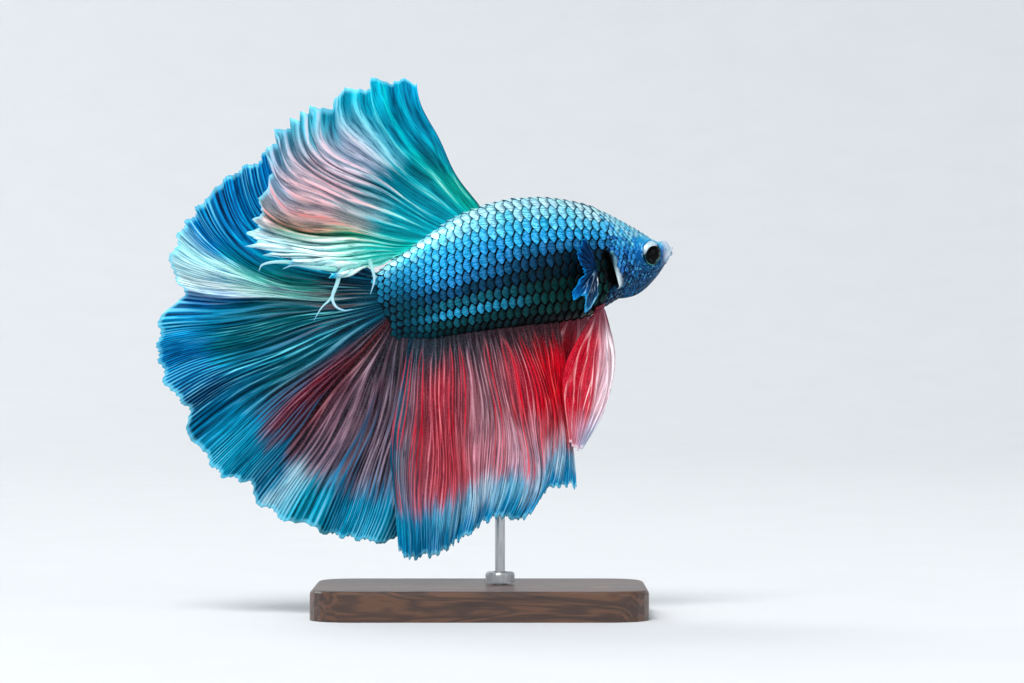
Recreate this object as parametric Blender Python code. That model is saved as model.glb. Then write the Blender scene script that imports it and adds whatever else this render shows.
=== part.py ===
"""Male halfmoon betta (Betta splendens), life size, as a still museum model on a small display stand.

The fish swims level with its head to +X and turned a little towards +Y, so its right flank faces -Y.
The body is a loft of a few measured stations along a curved spine, parted with thin cuts into head,
jaw, gill covers, trunk and tail base. Each fin is a thin folded sheet between a root line on the
body and a line of ray tips. The origin is the middle of the stand's underside, and +Z is up.
Sizes are in millimetres and become metres in place_vertex().
"""

import math
from collections.abc import Callable
from dataclasses import dataclass

import bmesh
import bpy
from mathutils import Vector

MM = 0.001
GAP = 0.3

# Spine: a cubic curve from the snout to the tail root. It also fixes how the body bends to the side.
SPINE = (
    Vector((28.8, 11.5, 55.0)),
    Vector((14.6, 3.0, 54.4)),
    Vector((-0.2, -2.6, 51.8)),
    Vector((-13.4, -4.5, 46.6)),
)
# Stations: share of the body's length from the snout, and the size there.
BACK_HEIGHT = (
    (0.0, 0.35), (0.02, 1.15), (0.05, 1.5), (0.08, 2.1), (0.15, 4.2), (0.25, 6.9),
    (0.4, 9.35), (0.55, 10.1), (0.7, 9.45), (0.8, 8.0), (0.9, 6.4), (1.0, 5.2),
)
BELLY_DEPTH = (
    (0.0, 0.9), (0.02, 2.2), (0.06, 4.3), (0.11, 5.85), (0.2, 7.0), (0.3, 8.8),
    (0.4, 9.25), (0.6, 8.6), (0.8, 7.65), (0.9, 7.0), (1.0, 5.7),
)
HALF_WIDTH = (
    (0.0, 0.6), (0.02, 1.4), (0.05, 2.15), (0.08, 2.7), (0.12, 3.15), (0.2, 3.7),
    (0.3, 4.1), (0.4, 4.15), (0.55, 3.9), (0.7, 3.2), (0.85, 2.2), (0.95, 1.4), (1.0, 1.0),
)
FLANK_FULLNESS = 0.9
SNOUT_BULGE = 0.3
TAIL_BULGE = 1.5

HEAD_END = 0.225
TRUNK_END = 0.8
ROUND_STEPS = 28

# Lower jaw: the mouth runs back and down from the snout to the corner, and the jaw down to the chin.
MOUTH_CORNER = (-2.0, -1.9)
CHIN = (-4.2, -6.0)
JAW_REACH = 4.0

# Gill covers: plates over the side of the head, in share of body length and degrees round it.
COVER_FRONT = 0.152
COVER_REAR = 0.2655
COVER_SLANT = 0.00093
COVER_TOP = 24.0
COVER_BOTTOM = -64.0
COVER_THICKNESS = 0.6
COVER_LIFT = 0.15
COVER_FLARE = 0.75

EYE_STATION = 0.1
EYE_HEIGHT = -0.4
EYE_OFFSET = 2.2
EYE_RADIUS = 1.9
EYE_DEPTH = 1.35

FIN_THICKNESS = 0.56
FIN_CLEARANCE = 0.32

STAND_LENGTH = 50.0
STAND_WIDTH = 34.0
STAND_HEIGHT = 4.5
STAND_CORNER = 6.0
STAND_EDGE = 0.7
ROD_RADIUS = 0.75
ROD_PLACE = (3.0, 1.6)
ROD_TOP = 46.6
ROD_FOOT = 1.6
COLLAR_RADIUS = 2.2
COLLAR_HEIGHT = 1.6


def read_stations(stations: tuple, place: float) -> float:
    """The value at a place between stations, along a smooth curve through them."""
    places = [station[0] for station in stations]
    values = [station[1] for station in stations]
    last = len(stations) - 1
    index = max(i for i in range(last) if i == 0 or places[i] <= place)
    span = places[index + 1] - places[index]

    def slope(i: int) -> float:
        low, high = max(i - 1, 0), min(i + 1, last)
        return (values[high] - values[low]) / (places[high] - places[low])

    x = min(max((place - places[index]) / span, 0.0), 1.0)
    start, end = slope(index) * span, slope(index + 1) * span
    rise = values[index + 1] - values[index]
    bend = (3 * rise - 2 * start - end) * x**2 + (start + end - 2 * rise) * x**3
    return values[index] + start * x + bend


def ease(x: float) -> float:
    """A smooth step from 0 to 1 as x goes from 0 to 1."""
    x = min(max(x, 0.0), 1.0)
    return x * x * (3 - 2 * x)


def spine_frame(t: float) -> tuple[Vector, Vector, Vector, Vector]:
    """The spine's point at t, and the unit directions forward, to the fish's left and up."""
    a, b, c, d = SPINE
    s = 1 - t
    point = a * s**3 + b * (3 * s * s * t) + c * (3 * s * t * t) + d * t**3
    forward = ((a - b) * (s * s) + (b - c) * (2 * s * t) + (c - d) * (t * t)).normalized()
    left = Vector((0, 0, 1)).cross(forward).normalized()
    return point, forward, left, forward.cross(left)


def body_point(t: float, degrees: float, rise: float = 0.0) -> Vector:
    """A point on the body's surface: 0 degrees is the left flank, 90 the back and 180 the right flank."""
    point, _, left, up = spine_frame(t)
    across, above = math.cos(math.radians(degrees)), math.sin(math.radians(degrees))
    width = read_stations(HALF_WIDTH, t)
    height = read_stations(BACK_HEIGHT if above > 0 else BELLY_DEPTH, t)
    x = width * math.copysign(abs(across) ** FLANK_FULLNESS, across)
    z = height * above
    outward = (left * (across / width) + up * (above / height)).normalized()
    return point + left * x + up * z + outward * rise


def material(name: str, colour: tuple, roughness: float, metallic: float = 0.0) -> bpy.types.Material:
    """A Principled material of one colour."""
    made = bpy.data.materials.new(name)
    made.use_nodes = True
    shader = made.node_tree.nodes["Principled BSDF"]
    shader.inputs["Base Color"].default_value = (*colour, 1.0)
    shader.inputs["Roughness"].default_value = roughness
    shader.inputs["Metallic"].default_value = metallic
    return made


def add_object(name: str, bm: bmesh.types.BMesh, finish: bpy.types.Material) -> bpy.types.Object:
    """A smooth shaded object of a closed bmesh, with its faces turned outwards."""
    bmesh.ops.recalc_face_normals(bm, faces=bm.faces)
    if bm.calc_volume(signed=True) < 0:
        bmesh.ops.reverse_faces(bm, faces=bm.faces)
    mesh = bpy.data.meshes.new(name)
    bm.to_mesh(mesh)
    bm.free()
    mesh.shade_smooth()
    mesh.set_sharp_from_angle(angle=math.radians(40))
    mesh.materials.append(finish)
    made = bpy.data.objects.new(name, mesh)
    bpy.context.scene.collection.objects.link(made)
    return made


def add_cutter(name: str, bm: bmesh.types.BMesh) -> bpy.types.Object:
    """A helper object that Booleans use and that isn't part of the model."""
    made = add_object(name, bm, material(name, (0.5, 0.5, 0.5), 0.5))
    made.hide_render = True
    made.display_type = "WIRE"
    return made


def combine(target: bpy.types.Object, other: bpy.types.Object, operation: str) -> None:
    """Adds an exact Boolean of the other object to the target."""
    modifier = target.modifiers.new(f"{operation} {other.name}", "BOOLEAN")
    modifier.operation = operation
    modifier.solver = "EXACT"
    modifier.object = other


def place_vertex(vertex: bmesh.types.BMVert, point: Vector) -> None:
    """Puts a vertex at a point given in millimetres."""
    vertex.co = point * MM


# --- Body ---------------------------------------------------------------------------------------


def body_section(start: float, end: float, rings: int, bunch: float, bulges: tuple) -> bmesh.types.BMesh:
    """A closed length of the body: a sphere whose rings are laid along the spine from start to end."""
    bm = bmesh.new()
    steps = rings + 1
    bmesh.ops.create_uvsphere(bm, u_segments=ROUND_STEPS, v_segments=steps, radius=1.0)
    for vertex in bm.verts:
        ring = round(math.acos(min(max(vertex.co.z, -1.0), 1.0)) / math.pi * steps)
        if ring in (0, steps):
            t, push = (start, bulges[0]) if ring == 0 else (end, -bulges[1])
            point, forward, _, _ = spine_frame(t)
            place_vertex(vertex, point + forward * push)
            continue
        t = start + (end - start) * ((ring - 1) / (rings - 1)) ** bunch
        place_vertex(vertex, body_point(t, math.degrees(math.atan2(vertex.co.y, vertex.co.x))))
    return bm


def thick_sheet(columns: int, rows: int, place: Callable) -> bmesh.types.BMesh:
    """A closed slab on a grid. place(u, v, face) gives a point, with u and v from 0 to 1 and face +1 or -1."""
    bm = bmesh.new()
    bmesh.ops.create_grid(bm, x_segments=columns, y_segments=rows, size=0.5)
    made = bmesh.ops.extrude_face_region(bm, geom=bm.faces[:])
    front = {item for item in made["geom"] if isinstance(item, bmesh.types.BMVert)}
    for vertex in bm.verts:
        face = 1 if vertex in front else -1
        place_vertex(vertex, place(vertex.co.x + 0.5, vertex.co.y + 0.5, face))
    return bm


def jaw_prism(margin: float) -> bmesh.types.BMesh:
    """The block in front of the mouth and jaw line, drawn in from it by the margin."""
    tip, forward, left, _ = spine_frame(0.0)
    up = Vector((0, 0, 1))
    mouth, chin = Vector(MOUTH_CORNER), Vector(CHIN)
    outline = (
        Vector((1.5 + margin, 1.4)),
        mouth + Vector((margin, -margin)),
        chin + Vector((margin, -2.0)),
        Vector((JAW_REACH, -8.0)),
        Vector((JAW_REACH, 1.4)),
    )
    bm = bmesh.new()
    corners = [
        bm.verts.new((tip + forward * (along + SNOUT_BULGE) + up * height + left * -JAW_REACH) * MM)
        for along, height in outline
    ]
    face = bm.faces.new(corners)
    made = bmesh.ops.extrude_face_region(bm, geom=[face])
    moved = [item for item in made["geom"] if isinstance(item, bmesh.types.BMVert)]
    bmesh.ops.translate(bm, verts=moved, vec=left * (2 * JAW_REACH * MM))
    return bm


def cover_sheet(side: int, grow: float, outer: float, inner: float) -> bmesh.types.BMesh:
    """A gill cover, or with grow the hollow that it lies in: a patch of the body's surface made thick."""

    def place(u: float, v: float, face: int) -> Vector:
        across = 2 * v - 1
        middle = (COVER_TOP + COVER_BOTTOM) / 2
        rear = COVER_REAR + COVER_SLANT * (middle + (COVER_TOP - COVER_BOTTOM) / 2 * across)
        front = COVER_FRONT + 0.01 * across**2
        t = front - grow * 0.007 + (rear - front + grow * 0.014) * u
        degrees = middle + ((COVER_TOP - COVER_BOTTOM) / 2 + grow * 4) * across * (0.8 + 0.2 * u)
        flare = COVER_LIFT + COVER_FLARE * ease((t - 0.2) / (COVER_REAR - 0.2)) * (1 - across**2) ** 0.5
        rise = (outer if face > 0 else inner) + flare
        return body_point(t, degrees if side > 0 else 180 - degrees, rise)

    return thick_sheet(8, 7, place)


def eyeball(side: int, margin: float) -> bmesh.types.BMesh:
    """An eye, flattened across the head. The socket is the same shape with a margin."""
    point, forward, left, up = spine_frame(EYE_STATION)
    centre = point + left * (EYE_OFFSET * side) + up * EYE_HEIGHT
    bm = bmesh.new()
    bmesh.ops.create_uvsphere(bm, u_segments=16, v_segments=8, radius=1.0)
    for vertex in bm.verts:
        x, y, z = vertex.co
        radius, depth = EYE_RADIUS + margin, EYE_DEPTH + margin
        place_vertex(vertex, centre + forward * (x * radius) + up * (y * radius) + left * (z * depth))
    return bm


def build_body(finishes: dict) -> None:
    """Head, jaw, gill covers, trunk, tail base and eyes."""
    head_section = (0.0, HEAD_END, 13, 1.5, (SNOUT_BULGE, 0.0))
    head = add_object("head", body_section(*head_section), finishes["skin_blue"])
    jaw = add_object("jaw_lower", body_section(*head_section), finishes["skin_pale"])
    gap = GAP / STANDARD_LENGTH
    trunk_section = body_section(HEAD_END + gap, TRUNK_END, 15, 1.0, (0.0, 0.0))
    trunk = add_object("trunk", trunk_section, finishes["skin_blue"])
    tail_section = body_section(TRUNK_END + gap, 1.0, 6, 1.0, (0.0, TAIL_BULGE))
    add_object("tail_base", tail_section, finishes["skin_teal"])
    combine(jaw, add_cutter("jaw_block", jaw_prism(0.0)), "INTERSECT")
    combine(head, add_cutter("jaw_room", jaw_prism(-GAP)), "DIFFERENCE")
    for side, name in ((1, "left"), (-1, "right")):
        cover = cover_sheet(side, 0.0, 0.0, -COVER_THICKNESS)
        add_object(f"gill_cover_{name}", cover, finishes["skin_blue"])
        room = add_cutter(f"cover_room_{name}", cover_sheet(side, 1.0, 2.5, -COVER_THICKNESS - GAP))
        combine(head, room, "DIFFERENCE")
        combine(trunk, room, "DIFFERENCE")
        add_object(f"eye_{name}", eyeball(side, 0.0), finishes["eye"])
        combine(head, add_cutter(f"socket_{name}", eyeball(side, GAP)), "DIFFERENCE")
    rod_room = rod_shape(ROD_RADIUS + GAP, STAND_HEIGHT, ROD_TOP + GAP)
    combine(trunk, add_cutter("rod_room", rod_room), "DIFFERENCE")


# --- Fins ---------------------------------------------------------------------------------------


@dataclass(frozen=True)
class Fin:
    """A fin from its root line to its ray tips, in the plane seen from the side, with folds across it.

    root gives the point on the body for u from 0 to 1, and tips are (u, x, z) stations of the outline.
    bow is how far each ray curves at its middle, counter-clockwise as seen from -Y, and lean(u, d) moves
    a point d mm out from the root along Y. folds waves cross the fin, depth gives their height in
    stations of u, and fold_share how they grow along the rays. The fringe scallops the edge by notch.
    """

    root: Callable
    tips: tuple
    bow: tuple
    lean: Callable
    folds: float
    depth: tuple
    fringe: int
    notch: float
    fold_share: Callable = lambda v: ease(1.3 * v)

    def middle(self, u: float, v: float) -> Vector:
        """The point of the sheet's middle surface at u across the fin and v out along the ray."""
        start = self.root(u)
        x = read_stations(tuple((tip[0], tip[1]) for tip in self.tips), u)
        z = read_stations(tuple((tip[0], tip[2]) for tip in self.tips), u)
        ray = Vector((x - start.x, 0.0, z - start.z))
        reach = ray.length
        reach -= self.notch * (0.5 + 0.5 * math.cos(2 * math.pi * self.fringe * u))
        across = Vector((-ray.z, 0.0, ray.x)).normalized()
        point = start + ray.normalized() * (reach * v)
        point += across * (read_stations(self.bow, u) * math.sin(math.pi * v))
        fold = read_stations(self.depth, u) * self.fold_share(v) * math.sin(2 * math.pi * self.folds * u)
        return point + Vector((0.0, self.lean(u, reach * v) + fold, 0.0))

    def place(self, u: float, v: float, face: int) -> Vector:
        """The point on the near or far face of the thick sheet."""
        step = 0.004
        along_u = self.middle(min(u + step, 1.0), v) - self.middle(max(u - step, 0.0), v)
        along_v = self.middle(u, min(v + step, 1.0)) - self.middle(u, max(v - step, 0.0))
        normal = along_u.cross(along_v).normalized()
        return self.middle(u, v) + normal * (face * FIN_THICKNESS / 2)


def median_root(start: float, end: float, degrees: float) -> Callable:
    """A root line along the back (90 degrees) or the belly (-90) between two places on the body."""
    return lambda u: body_point(start + (end - start) * u, degrees, FIN_CLEARANCE)


def tail_root(u: float) -> Vector:
    """The root of the tail fin, round the rear end of the tail base from top to bottom."""
    point, forward, _, up = spine_frame(1.0)
    top, bottom = read_stations(BACK_HEIGHT, 1.0), read_stations(BELLY_DEPTH, 1.0)
    height = top - (top + bottom) * u
    return point + up * height - forward * (FIN_CLEARANCE + TAIL_BULGE * math.sin(math.pi * u))


def tail_tips() -> tuple:
    """The tail's outline: a half moon about the tail root, with three shallow notches between its lobes."""
    x, z = -14.2, 46.1
    first, last = 126.5, 274.0
    tips = []
    steps = 40
    for step in range(steps + 1):
        u = step / steps
        angle = first + (last - first) * u
        radius = 30.0 + 3.4 * ease(u / 0.25) + 2.2 * ease((u - 0.3) / 0.2)
        for notch_at, depth, half in ((0.335, 2.4, 0.03), (0.54, 1.8, 0.03), (0.715, 1.8, 0.02)):
            radius -= depth * math.exp(-(((u - notch_at) / half) ** 2))
        radians = math.radians(angle)
        tips.append((u, x + radius * math.cos(radians), z + radius * math.sin(radians)))
    return tuple(tips)


DORSAL = Fin(
    root=median_root(0.625, 0.945, 90),
    tips=(
        (0.0, -10.0, 80.6), (0.1, -14.3, 80.8), (0.2, -18.3, 79.9), (0.32, -23.3, 77.5),
        (0.45, -27.4, 75.0), (0.55, -31.2, 72.2), (0.65, -32.4, 66.0), (0.75, -33.6, 60.4),
        (0.84, -35.2, 55.2), (0.92, -30.0, 52.9), (1.0, -22.0, 50.0),
    ),
    bow=((0.0, 1.3), (0.3, 1.6), (0.6, 1.2), (0.8, 0.6), (1.0, 0.2)),
    lean=lambda u, d: -(0.6 + 1.7 * ease(u / 0.8)) * (1 - math.exp(-((d / 3.5) ** 2))) - 0.09 * d,
    folds=4.5,
    depth=((0.0, 0.9), (0.55, 0.8), (0.7, 0.35), (0.8, 0.15), (1.0, 0.0)),
    fringe=14,
    notch=0.7,
)
TAIL = Fin(
    root=tail_root,
    tips=tail_tips(),
    bow=((0.0, -0.8), (0.4, 0.0), (1.0, 0.0)),
    lean=lambda u, d: (0.13 - 0.08 * ease(u / 0.5)) * d,
    folds=7.0,
    depth=((0.0, 1.2), (1.0, 1.2)),
    fringe=24,
    notch=0.8,
)
ANAL = Fin(
    root=median_root(0.425, 0.965, -90),
    tips=(
        (0.0, 14.6, 18.2), (0.08, 12.5, 18.6), (0.18, 9.8, 17.7), (0.28, 7.8, 15.0),
        (0.36, 5.9, 13.3), (0.44, 3.6, 14.2), (0.54, 0.3, 12.9), (0.66, -2.7, 10.8),
        (0.78, -6.0, 8.8), (0.9, -9.3, 8.0), (1.0, -12.0, 8.8),
    ),
    bow=((0.0, 0.1), (0.12, 1.2), (0.27, 2.4), (0.5, 1.8), (0.8, 0.3), (1.0, -1.2)),
    lean=lambda u, d: -(0.35 + 1.2 * ease((u - 0.6) / 0.4)) * (1 - math.exp(-((d / 4) ** 2))) - 0.02 * d,
    folds=6.0,
    depth=((0.0, 0.4), (0.3, 0.5), (0.6, 0.9), (1.0, 0.9)),
    fringe=14,
    notch=0.7,
)


def pelvic_fin(side: int) -> Fin:
    """A pelvic fin: a long leaf that hangs from the breast, the far one swung back a little."""
    swing = 0.0 if side < 0 else -2.2

    def root(u: float) -> Vector:
        degrees = -90 + side * 24
        return body_point(0.275 + 0.035 * u, degrees, FIN_CLEARANCE)

    return Fin(
        root=root,
        tips=((0.0, 15.5 + swing, 24.7), (0.5, 14.5 + swing, 24.4), (1.0, 13.3 + swing, 25.6)),
        bow=((0.0, 3.1), (0.5, 0.4), (1.0, -2.6)),
        lean=lambda u, d: side * (0.09 * d + 0.4),
        folds=1.5,
        depth=((0.0, 0.35), (1.0, 0.35)),
        fringe=2,
        notch=0.2,
        fold_share=lambda v: math.sin(math.pi * v) ** 2,
    )


def pectoral_fin(side: int) -> Callable:
    """A pectoral fin: a fan from its base behind the gill cover, spread back over the flank."""

    def middle(u: float, v: float) -> Vector:
        angle = math.radians(134 + 112 * u)
        reach = 0.5 + v * (5.2 - 1.6 * math.sin(math.pi * u) ** 2 + 1.3 * ease((u - 0.5) / 0.3))
        back, down = reach * math.cos(angle), reach * math.sin(angle)
        t = 0.315 - back / STANDARD_LENGTH
        flank = read_stations(BACK_HEIGHT, t) if down > 2 else read_stations(BELLY_DEPTH, t)
        degrees = math.degrees(math.asin(min(max((down - 1.6) / flank, -0.96), 0.96)))
        rise = 0.75 + 1.5 * ease(v) + 0.22 * v * math.sin(5 * math.pi * u)
        return body_point(t, degrees if side > 0 else 180 - degrees, rise)

    def place(u: float, v: float, face: int) -> Vector:
        step = 0.01
        along_u = middle(min(u + step, 1.0), v) - middle(max(u - step, 0.0), v)
        along_v = middle(u, min(v + step, 1.0)) - middle(u, max(v - step, 0.0))
        normal = along_u.cross(along_v).normalized()
        return middle(u, v) + normal * (face * FIN_THICKNESS / 2)

    return place


def build_fins(finishes: dict) -> None:
    """The seven fins, each a closed sheet of its own."""
    add_object("dorsal_fin", thick_sheet(42, 6, DORSAL.place), finishes["fin_blue"])
    add_object("caudal_fin", thick_sheet(72, 5, TAIL.place), finishes["fin_blue"])
    add_object("anal_fin", thick_sheet(42, 6, ANAL.place), finishes["fin_red"])
    for side, name in ((1, "left"), (-1, "right")):
        pelvic = thick_sheet(8, 8, pelvic_fin(side).place)
        add_object(f"pelvic_fin_{name}", pelvic, finishes["fin_red"])
        pectoral = thick_sheet(8, 4, pectoral_fin(side))
        add_object(f"pectoral_fin_{name}", pectoral, finishes["fin_blue"])


# --- Stand --------------------------------------------------------------------------------------


def rod_shape(radius: float, bottom: float, top: float) -> bmesh.types.BMesh:
    """An upright round bar at the rod's place."""
    bm = bmesh.new()
    bmesh.ops.create_cone(
        bm, cap_ends=True, segments=24, radius1=radius * MM, radius2=radius * MM, depth=(top - bottom) * MM
    )
    centre = Vector((*ROD_PLACE, (top + bottom) / 2))
    bmesh.ops.translate(bm, verts=bm.verts, vec=centre * MM)
    return bm


def build_stand(finishes: dict) -> None:
    """The flat base, the rod that carries the fish and the collar round its foot."""
    bm = bmesh.new()
    bmesh.ops.create_cube(bm, size=1.0)
    bmesh.ops.scale(bm, verts=bm.verts, vec=Vector((STAND_LENGTH, STAND_WIDTH, STAND_HEIGHT)) * MM)
    bmesh.ops.translate(bm, verts=bm.verts, vec=Vector((0, 0, STAND_HEIGHT / 2)) * MM)
    upright = [edge for edge in bm.edges if abs(edge.verts[0].co.z - edge.verts[1].co.z) > STAND_HEIGHT * MM / 2]
    bmesh.ops.bevel(
        bm, geom=upright, offset=STAND_CORNER * MM, affect="EDGES", segments=6, profile=0.5, material=-1
    )
    upper = STAND_HEIGHT * MM - 1e-6
    rim = [edge for edge in bm.edges if min(vertex.co.z for vertex in edge.verts) > upper]
    bmesh.ops.bevel(
        bm, geom=rim, offset=STAND_EDGE * MM, affect="EDGES", segments=3, profile=0.5, material=-1
    )
    base = add_object("stand_base", bm, finishes["black_wood"])
    foot_room = rod_shape(ROD_RADIUS + GAP, ROD_FOOT, STAND_HEIGHT + 1)
    combine(base, add_cutter("foot_room", foot_room), "DIFFERENCE")
    rod = rod_shape(ROD_RADIUS, ROD_FOOT + GAP, ROD_TOP)
    add_object("stand_rod", rod, finishes["steel"])
    low = STAND_HEIGHT + GAP
    collar = rod_shape(COLLAR_RADIUS, low, low + COLLAR_HEIGHT)
    top_rim = [edge for edge in collar.edges if min(v.co.z for v in edge.verts) > (low + 1) * MM]
    bmesh.ops.bevel(
        collar, geom=top_rim, offset=0.4 * MM, affect="EDGES", segments=2, profile=0.5, material=-1
    )
    collar_object = add_object("stand_collar", collar, finishes["steel"])
    bore = rod_shape(ROD_RADIUS + GAP, low - 1, low + COLLAR_HEIGHT + 1)
    combine(collar_object, add_cutter("collar_bore", bore), "DIFFERENCE")


def spine_length() -> float:
    """The length of the spine, from the snout to the tail root."""
    steps = 200
    points = [spine_frame(i / steps)[0] for i in range(steps + 1)]
    return sum((b - a).length for a, b in zip(points, points[1:]))


STANDARD_LENGTH = spine_length()


def main() -> None:
    """Clears the scene and builds the model."""
    for old in list(bpy.data.objects):
        bpy.data.objects.remove(old, do_unlink=True)
    finishes = {
        "skin_blue": material("skin_blue", (0.05, 0.30, 0.50), 0.35),
        "skin_teal": material("skin_teal", (0.02, 0.22, 0.30), 0.35),
        "skin_pale": material("skin_pale", (0.72, 0.66, 0.70), 0.4),
        "fin_blue": material("fin_blue", (0.10, 0.42, 0.58), 0.4),
        "fin_red": material("fin_red", (0.62, 0.14, 0.16), 0.4),
        "eye": material("eye", (0.01, 0.01, 0.012), 0.08),
        "black_wood": material("black_wood", (0.02, 0.018, 0.016), 0.35),
        "steel": material("steel", (0.62, 0.62, 0.63), 0.3, 1.0),
    }
    build_body(finishes)
    build_fins(finishes)
    build_stand(finishes)


if __name__ == "__main__":
    main()
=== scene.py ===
"""Finished surfaces of a show betta held still on a display stand.

Lengths are in millimetres inside the classes and turn into metres when a mesh is written. The body runs
along a curved spine from the snout (station 0) to the tail root (station 1), and an angle round it reads
0 on the left flank, 90 on the back, 180 on the right flank and 270 on the belly.
"""

import enum
import logging
import math
from collections.abc import Callable, Mapping, Sequence
from dataclasses import dataclass

import bmesh
import bpy
import numpy as np
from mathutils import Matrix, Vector


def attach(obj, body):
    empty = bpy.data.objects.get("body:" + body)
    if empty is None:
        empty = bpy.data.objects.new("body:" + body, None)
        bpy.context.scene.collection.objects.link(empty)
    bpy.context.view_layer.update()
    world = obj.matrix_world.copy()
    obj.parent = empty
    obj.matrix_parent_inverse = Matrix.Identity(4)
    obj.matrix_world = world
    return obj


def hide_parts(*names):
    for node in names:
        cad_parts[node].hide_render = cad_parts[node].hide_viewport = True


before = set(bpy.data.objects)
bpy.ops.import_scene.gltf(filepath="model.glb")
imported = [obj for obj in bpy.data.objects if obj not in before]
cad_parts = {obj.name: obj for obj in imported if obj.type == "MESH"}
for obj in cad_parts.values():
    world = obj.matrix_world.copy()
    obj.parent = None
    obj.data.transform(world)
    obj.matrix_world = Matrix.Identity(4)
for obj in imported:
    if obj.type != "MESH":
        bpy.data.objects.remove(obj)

MM = 0.001
ROOT_BODY = "root"
SURFACE_MAP = "Surface"
BAKE_MAP = "OFBake"
LOG = logging.getLogger("betta")

Array = np.ndarray
Stations = tuple[tuple[float, float], ...]
Stops = tuple[tuple[float, str], ...]


class Side(enum.Enum):
    """A side of the fish, as the sign of its sideways axis."""

    LEFT = 1
    RIGHT = -1

    @property
    def word(self) -> str:
        """The side as it stands in node names."""
        return self.name.lower()


def read_stations(stations: Stations, place: Array | float) -> Array:
    """Reads a smooth line through (place, value) stations.

    Args:
        stations: The places in rising order, each with its value.
        place: Where to read, held to the first and last place.

    Returns:
        The value at each place asked for.
    """
    places, values = np.array(stations, float).T
    order = np.arange(len(places))
    after = np.minimum(order + 1, len(places) - 1)
    before = np.maximum(order - 1, 0)
    slopes = (values[after] - values[before]) / (places[after] - places[before])
    held = np.clip(place, places[0], places[-1])
    i = np.clip(np.searchsorted(places, held, side="right") - 1, 0, len(places) - 2)
    span = places[i + 1] - places[i]
    x = (held - places[i]) / span
    start = slopes[i] * span
    end = slopes[i + 1] * span
    rise = values[i + 1] - values[i]
    return values[i] + start * x + (3 * rise - 2 * start - end) * x**2 + (start + end - 2 * rise) * x**3


def read_straight(stations: Stations, place: Array | float) -> Array:
    """Reads a line with straight runs through (place, value) stations."""
    places, values = np.array(stations).T
    return np.interp(place, places, values)


def ease(x: Array | float) -> Array:
    """Rises smoothly from 0 to 1 as x does."""
    x = np.clip(x, 0.0, 1.0)
    return x * x * (3.0 - 2.0 * x)


def past(x: Array | float, start: Array | float, run: float) -> Array:
    """Rises smoothly from 0 at the start to 1 one run beyond it."""
    return ease((x - start) / run)


def bell(x: Array | float, middle: Array | float, half: Array | float) -> Array:
    """A smooth hump of height 1 at the middle."""
    return np.exp(-(((x - middle) / half) ** 2))


def unit(vectors: Array) -> Array:
    """The vectors at length 1."""
    return vectors / np.linalg.norm(vectors, axis=-1, keepdims=True)


def column(values: Array) -> Array:
    """Numbers shaped so that each multiplies a vector."""
    return np.asarray(values)[..., None]


def linear(code: str) -> tuple[float, float, float, float]:
    """Turns a colour written as #rrggbb into the linear colour a shader takes."""
    parts = [int(code[i : i + 2], 16) / 255.0 for i in (1, 3, 5)]
    red, green, blue = (p / 12.92 if p <= 0.04045 else ((p + 0.055) / 1.055) ** 2.4 for p in parts)
    return (red, green, blue, 1.0)


class Value:
    """A number that a shader socket carries, open to arithmetic."""

    def __init__(self, nodes: "Nodes", socket: bpy.types.NodeSocket) -> None:
        """Keeps the socket and the tree it stands in."""
        self.nodes = nodes
        self.socket = socket

    def math(self, operation: str, *others: "Value | float", first: "Value | float | None" = None) -> "Value":
        """Adds one Math node.

        Args:
            operation: The node's operation.
            others: What goes into the sockets after the first.
            first: What goes into the first socket, where that isn't this value.

        Returns:
            The node's result.
        """
        feeds = [self if first is None else first, *others]
        settings = {"operation": operation}
        node = self.nodes.node("ShaderNodeMath", settings, dict(enumerate(feeds)))
        return Value(self.nodes, node.outputs[0])

    def __add__(self, other: "Value | float") -> "Value":
        """Sum."""
        return self.math("ADD", other)

    __radd__ = __add__

    def __sub__(self, other: "Value | float") -> "Value":
        """Difference."""
        return self.math("SUBTRACT", other)

    def __rsub__(self, other: float) -> "Value":
        """Difference from a number."""
        return self.math("SUBTRACT", self, first=other)

    def __mul__(self, other: "Value | float") -> "Value":
        """Product."""
        return self.math("MULTIPLY", other)

    __rmul__ = __mul__

    def sine(self) -> "Value":
        """Sine of the value in radians."""
        return self.math("SINE")

    def step(self, low: float, high: float) -> "Value":
        """Goes smoothly from 0 at low to 1 at high.

        Args:
            low: The value that gives 0.
            high: The value that gives 1.

        Returns:
            The eased share.
        """
        feeds = {"Value": self, "From Min": low, "From Max": high, "To Min": 0.0, "To Max": 1.0}
        node = self.nodes.node("ShaderNodeMapRange", {"interpolation_type": "SMOOTHSTEP"}, feeds)
        return Value(self.nodes, node.outputs["Result"])

    def near(self, middle: float, half: float) -> "Value":
        """1 at the middle, falling smoothly to 0 at half a width from it."""
        return 1.0 - (self - middle).math("ABSOLUTE").step(0.0, half)


Feed = Value | bpy.types.NodeSocket | float | str | Sequence[float]


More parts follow.
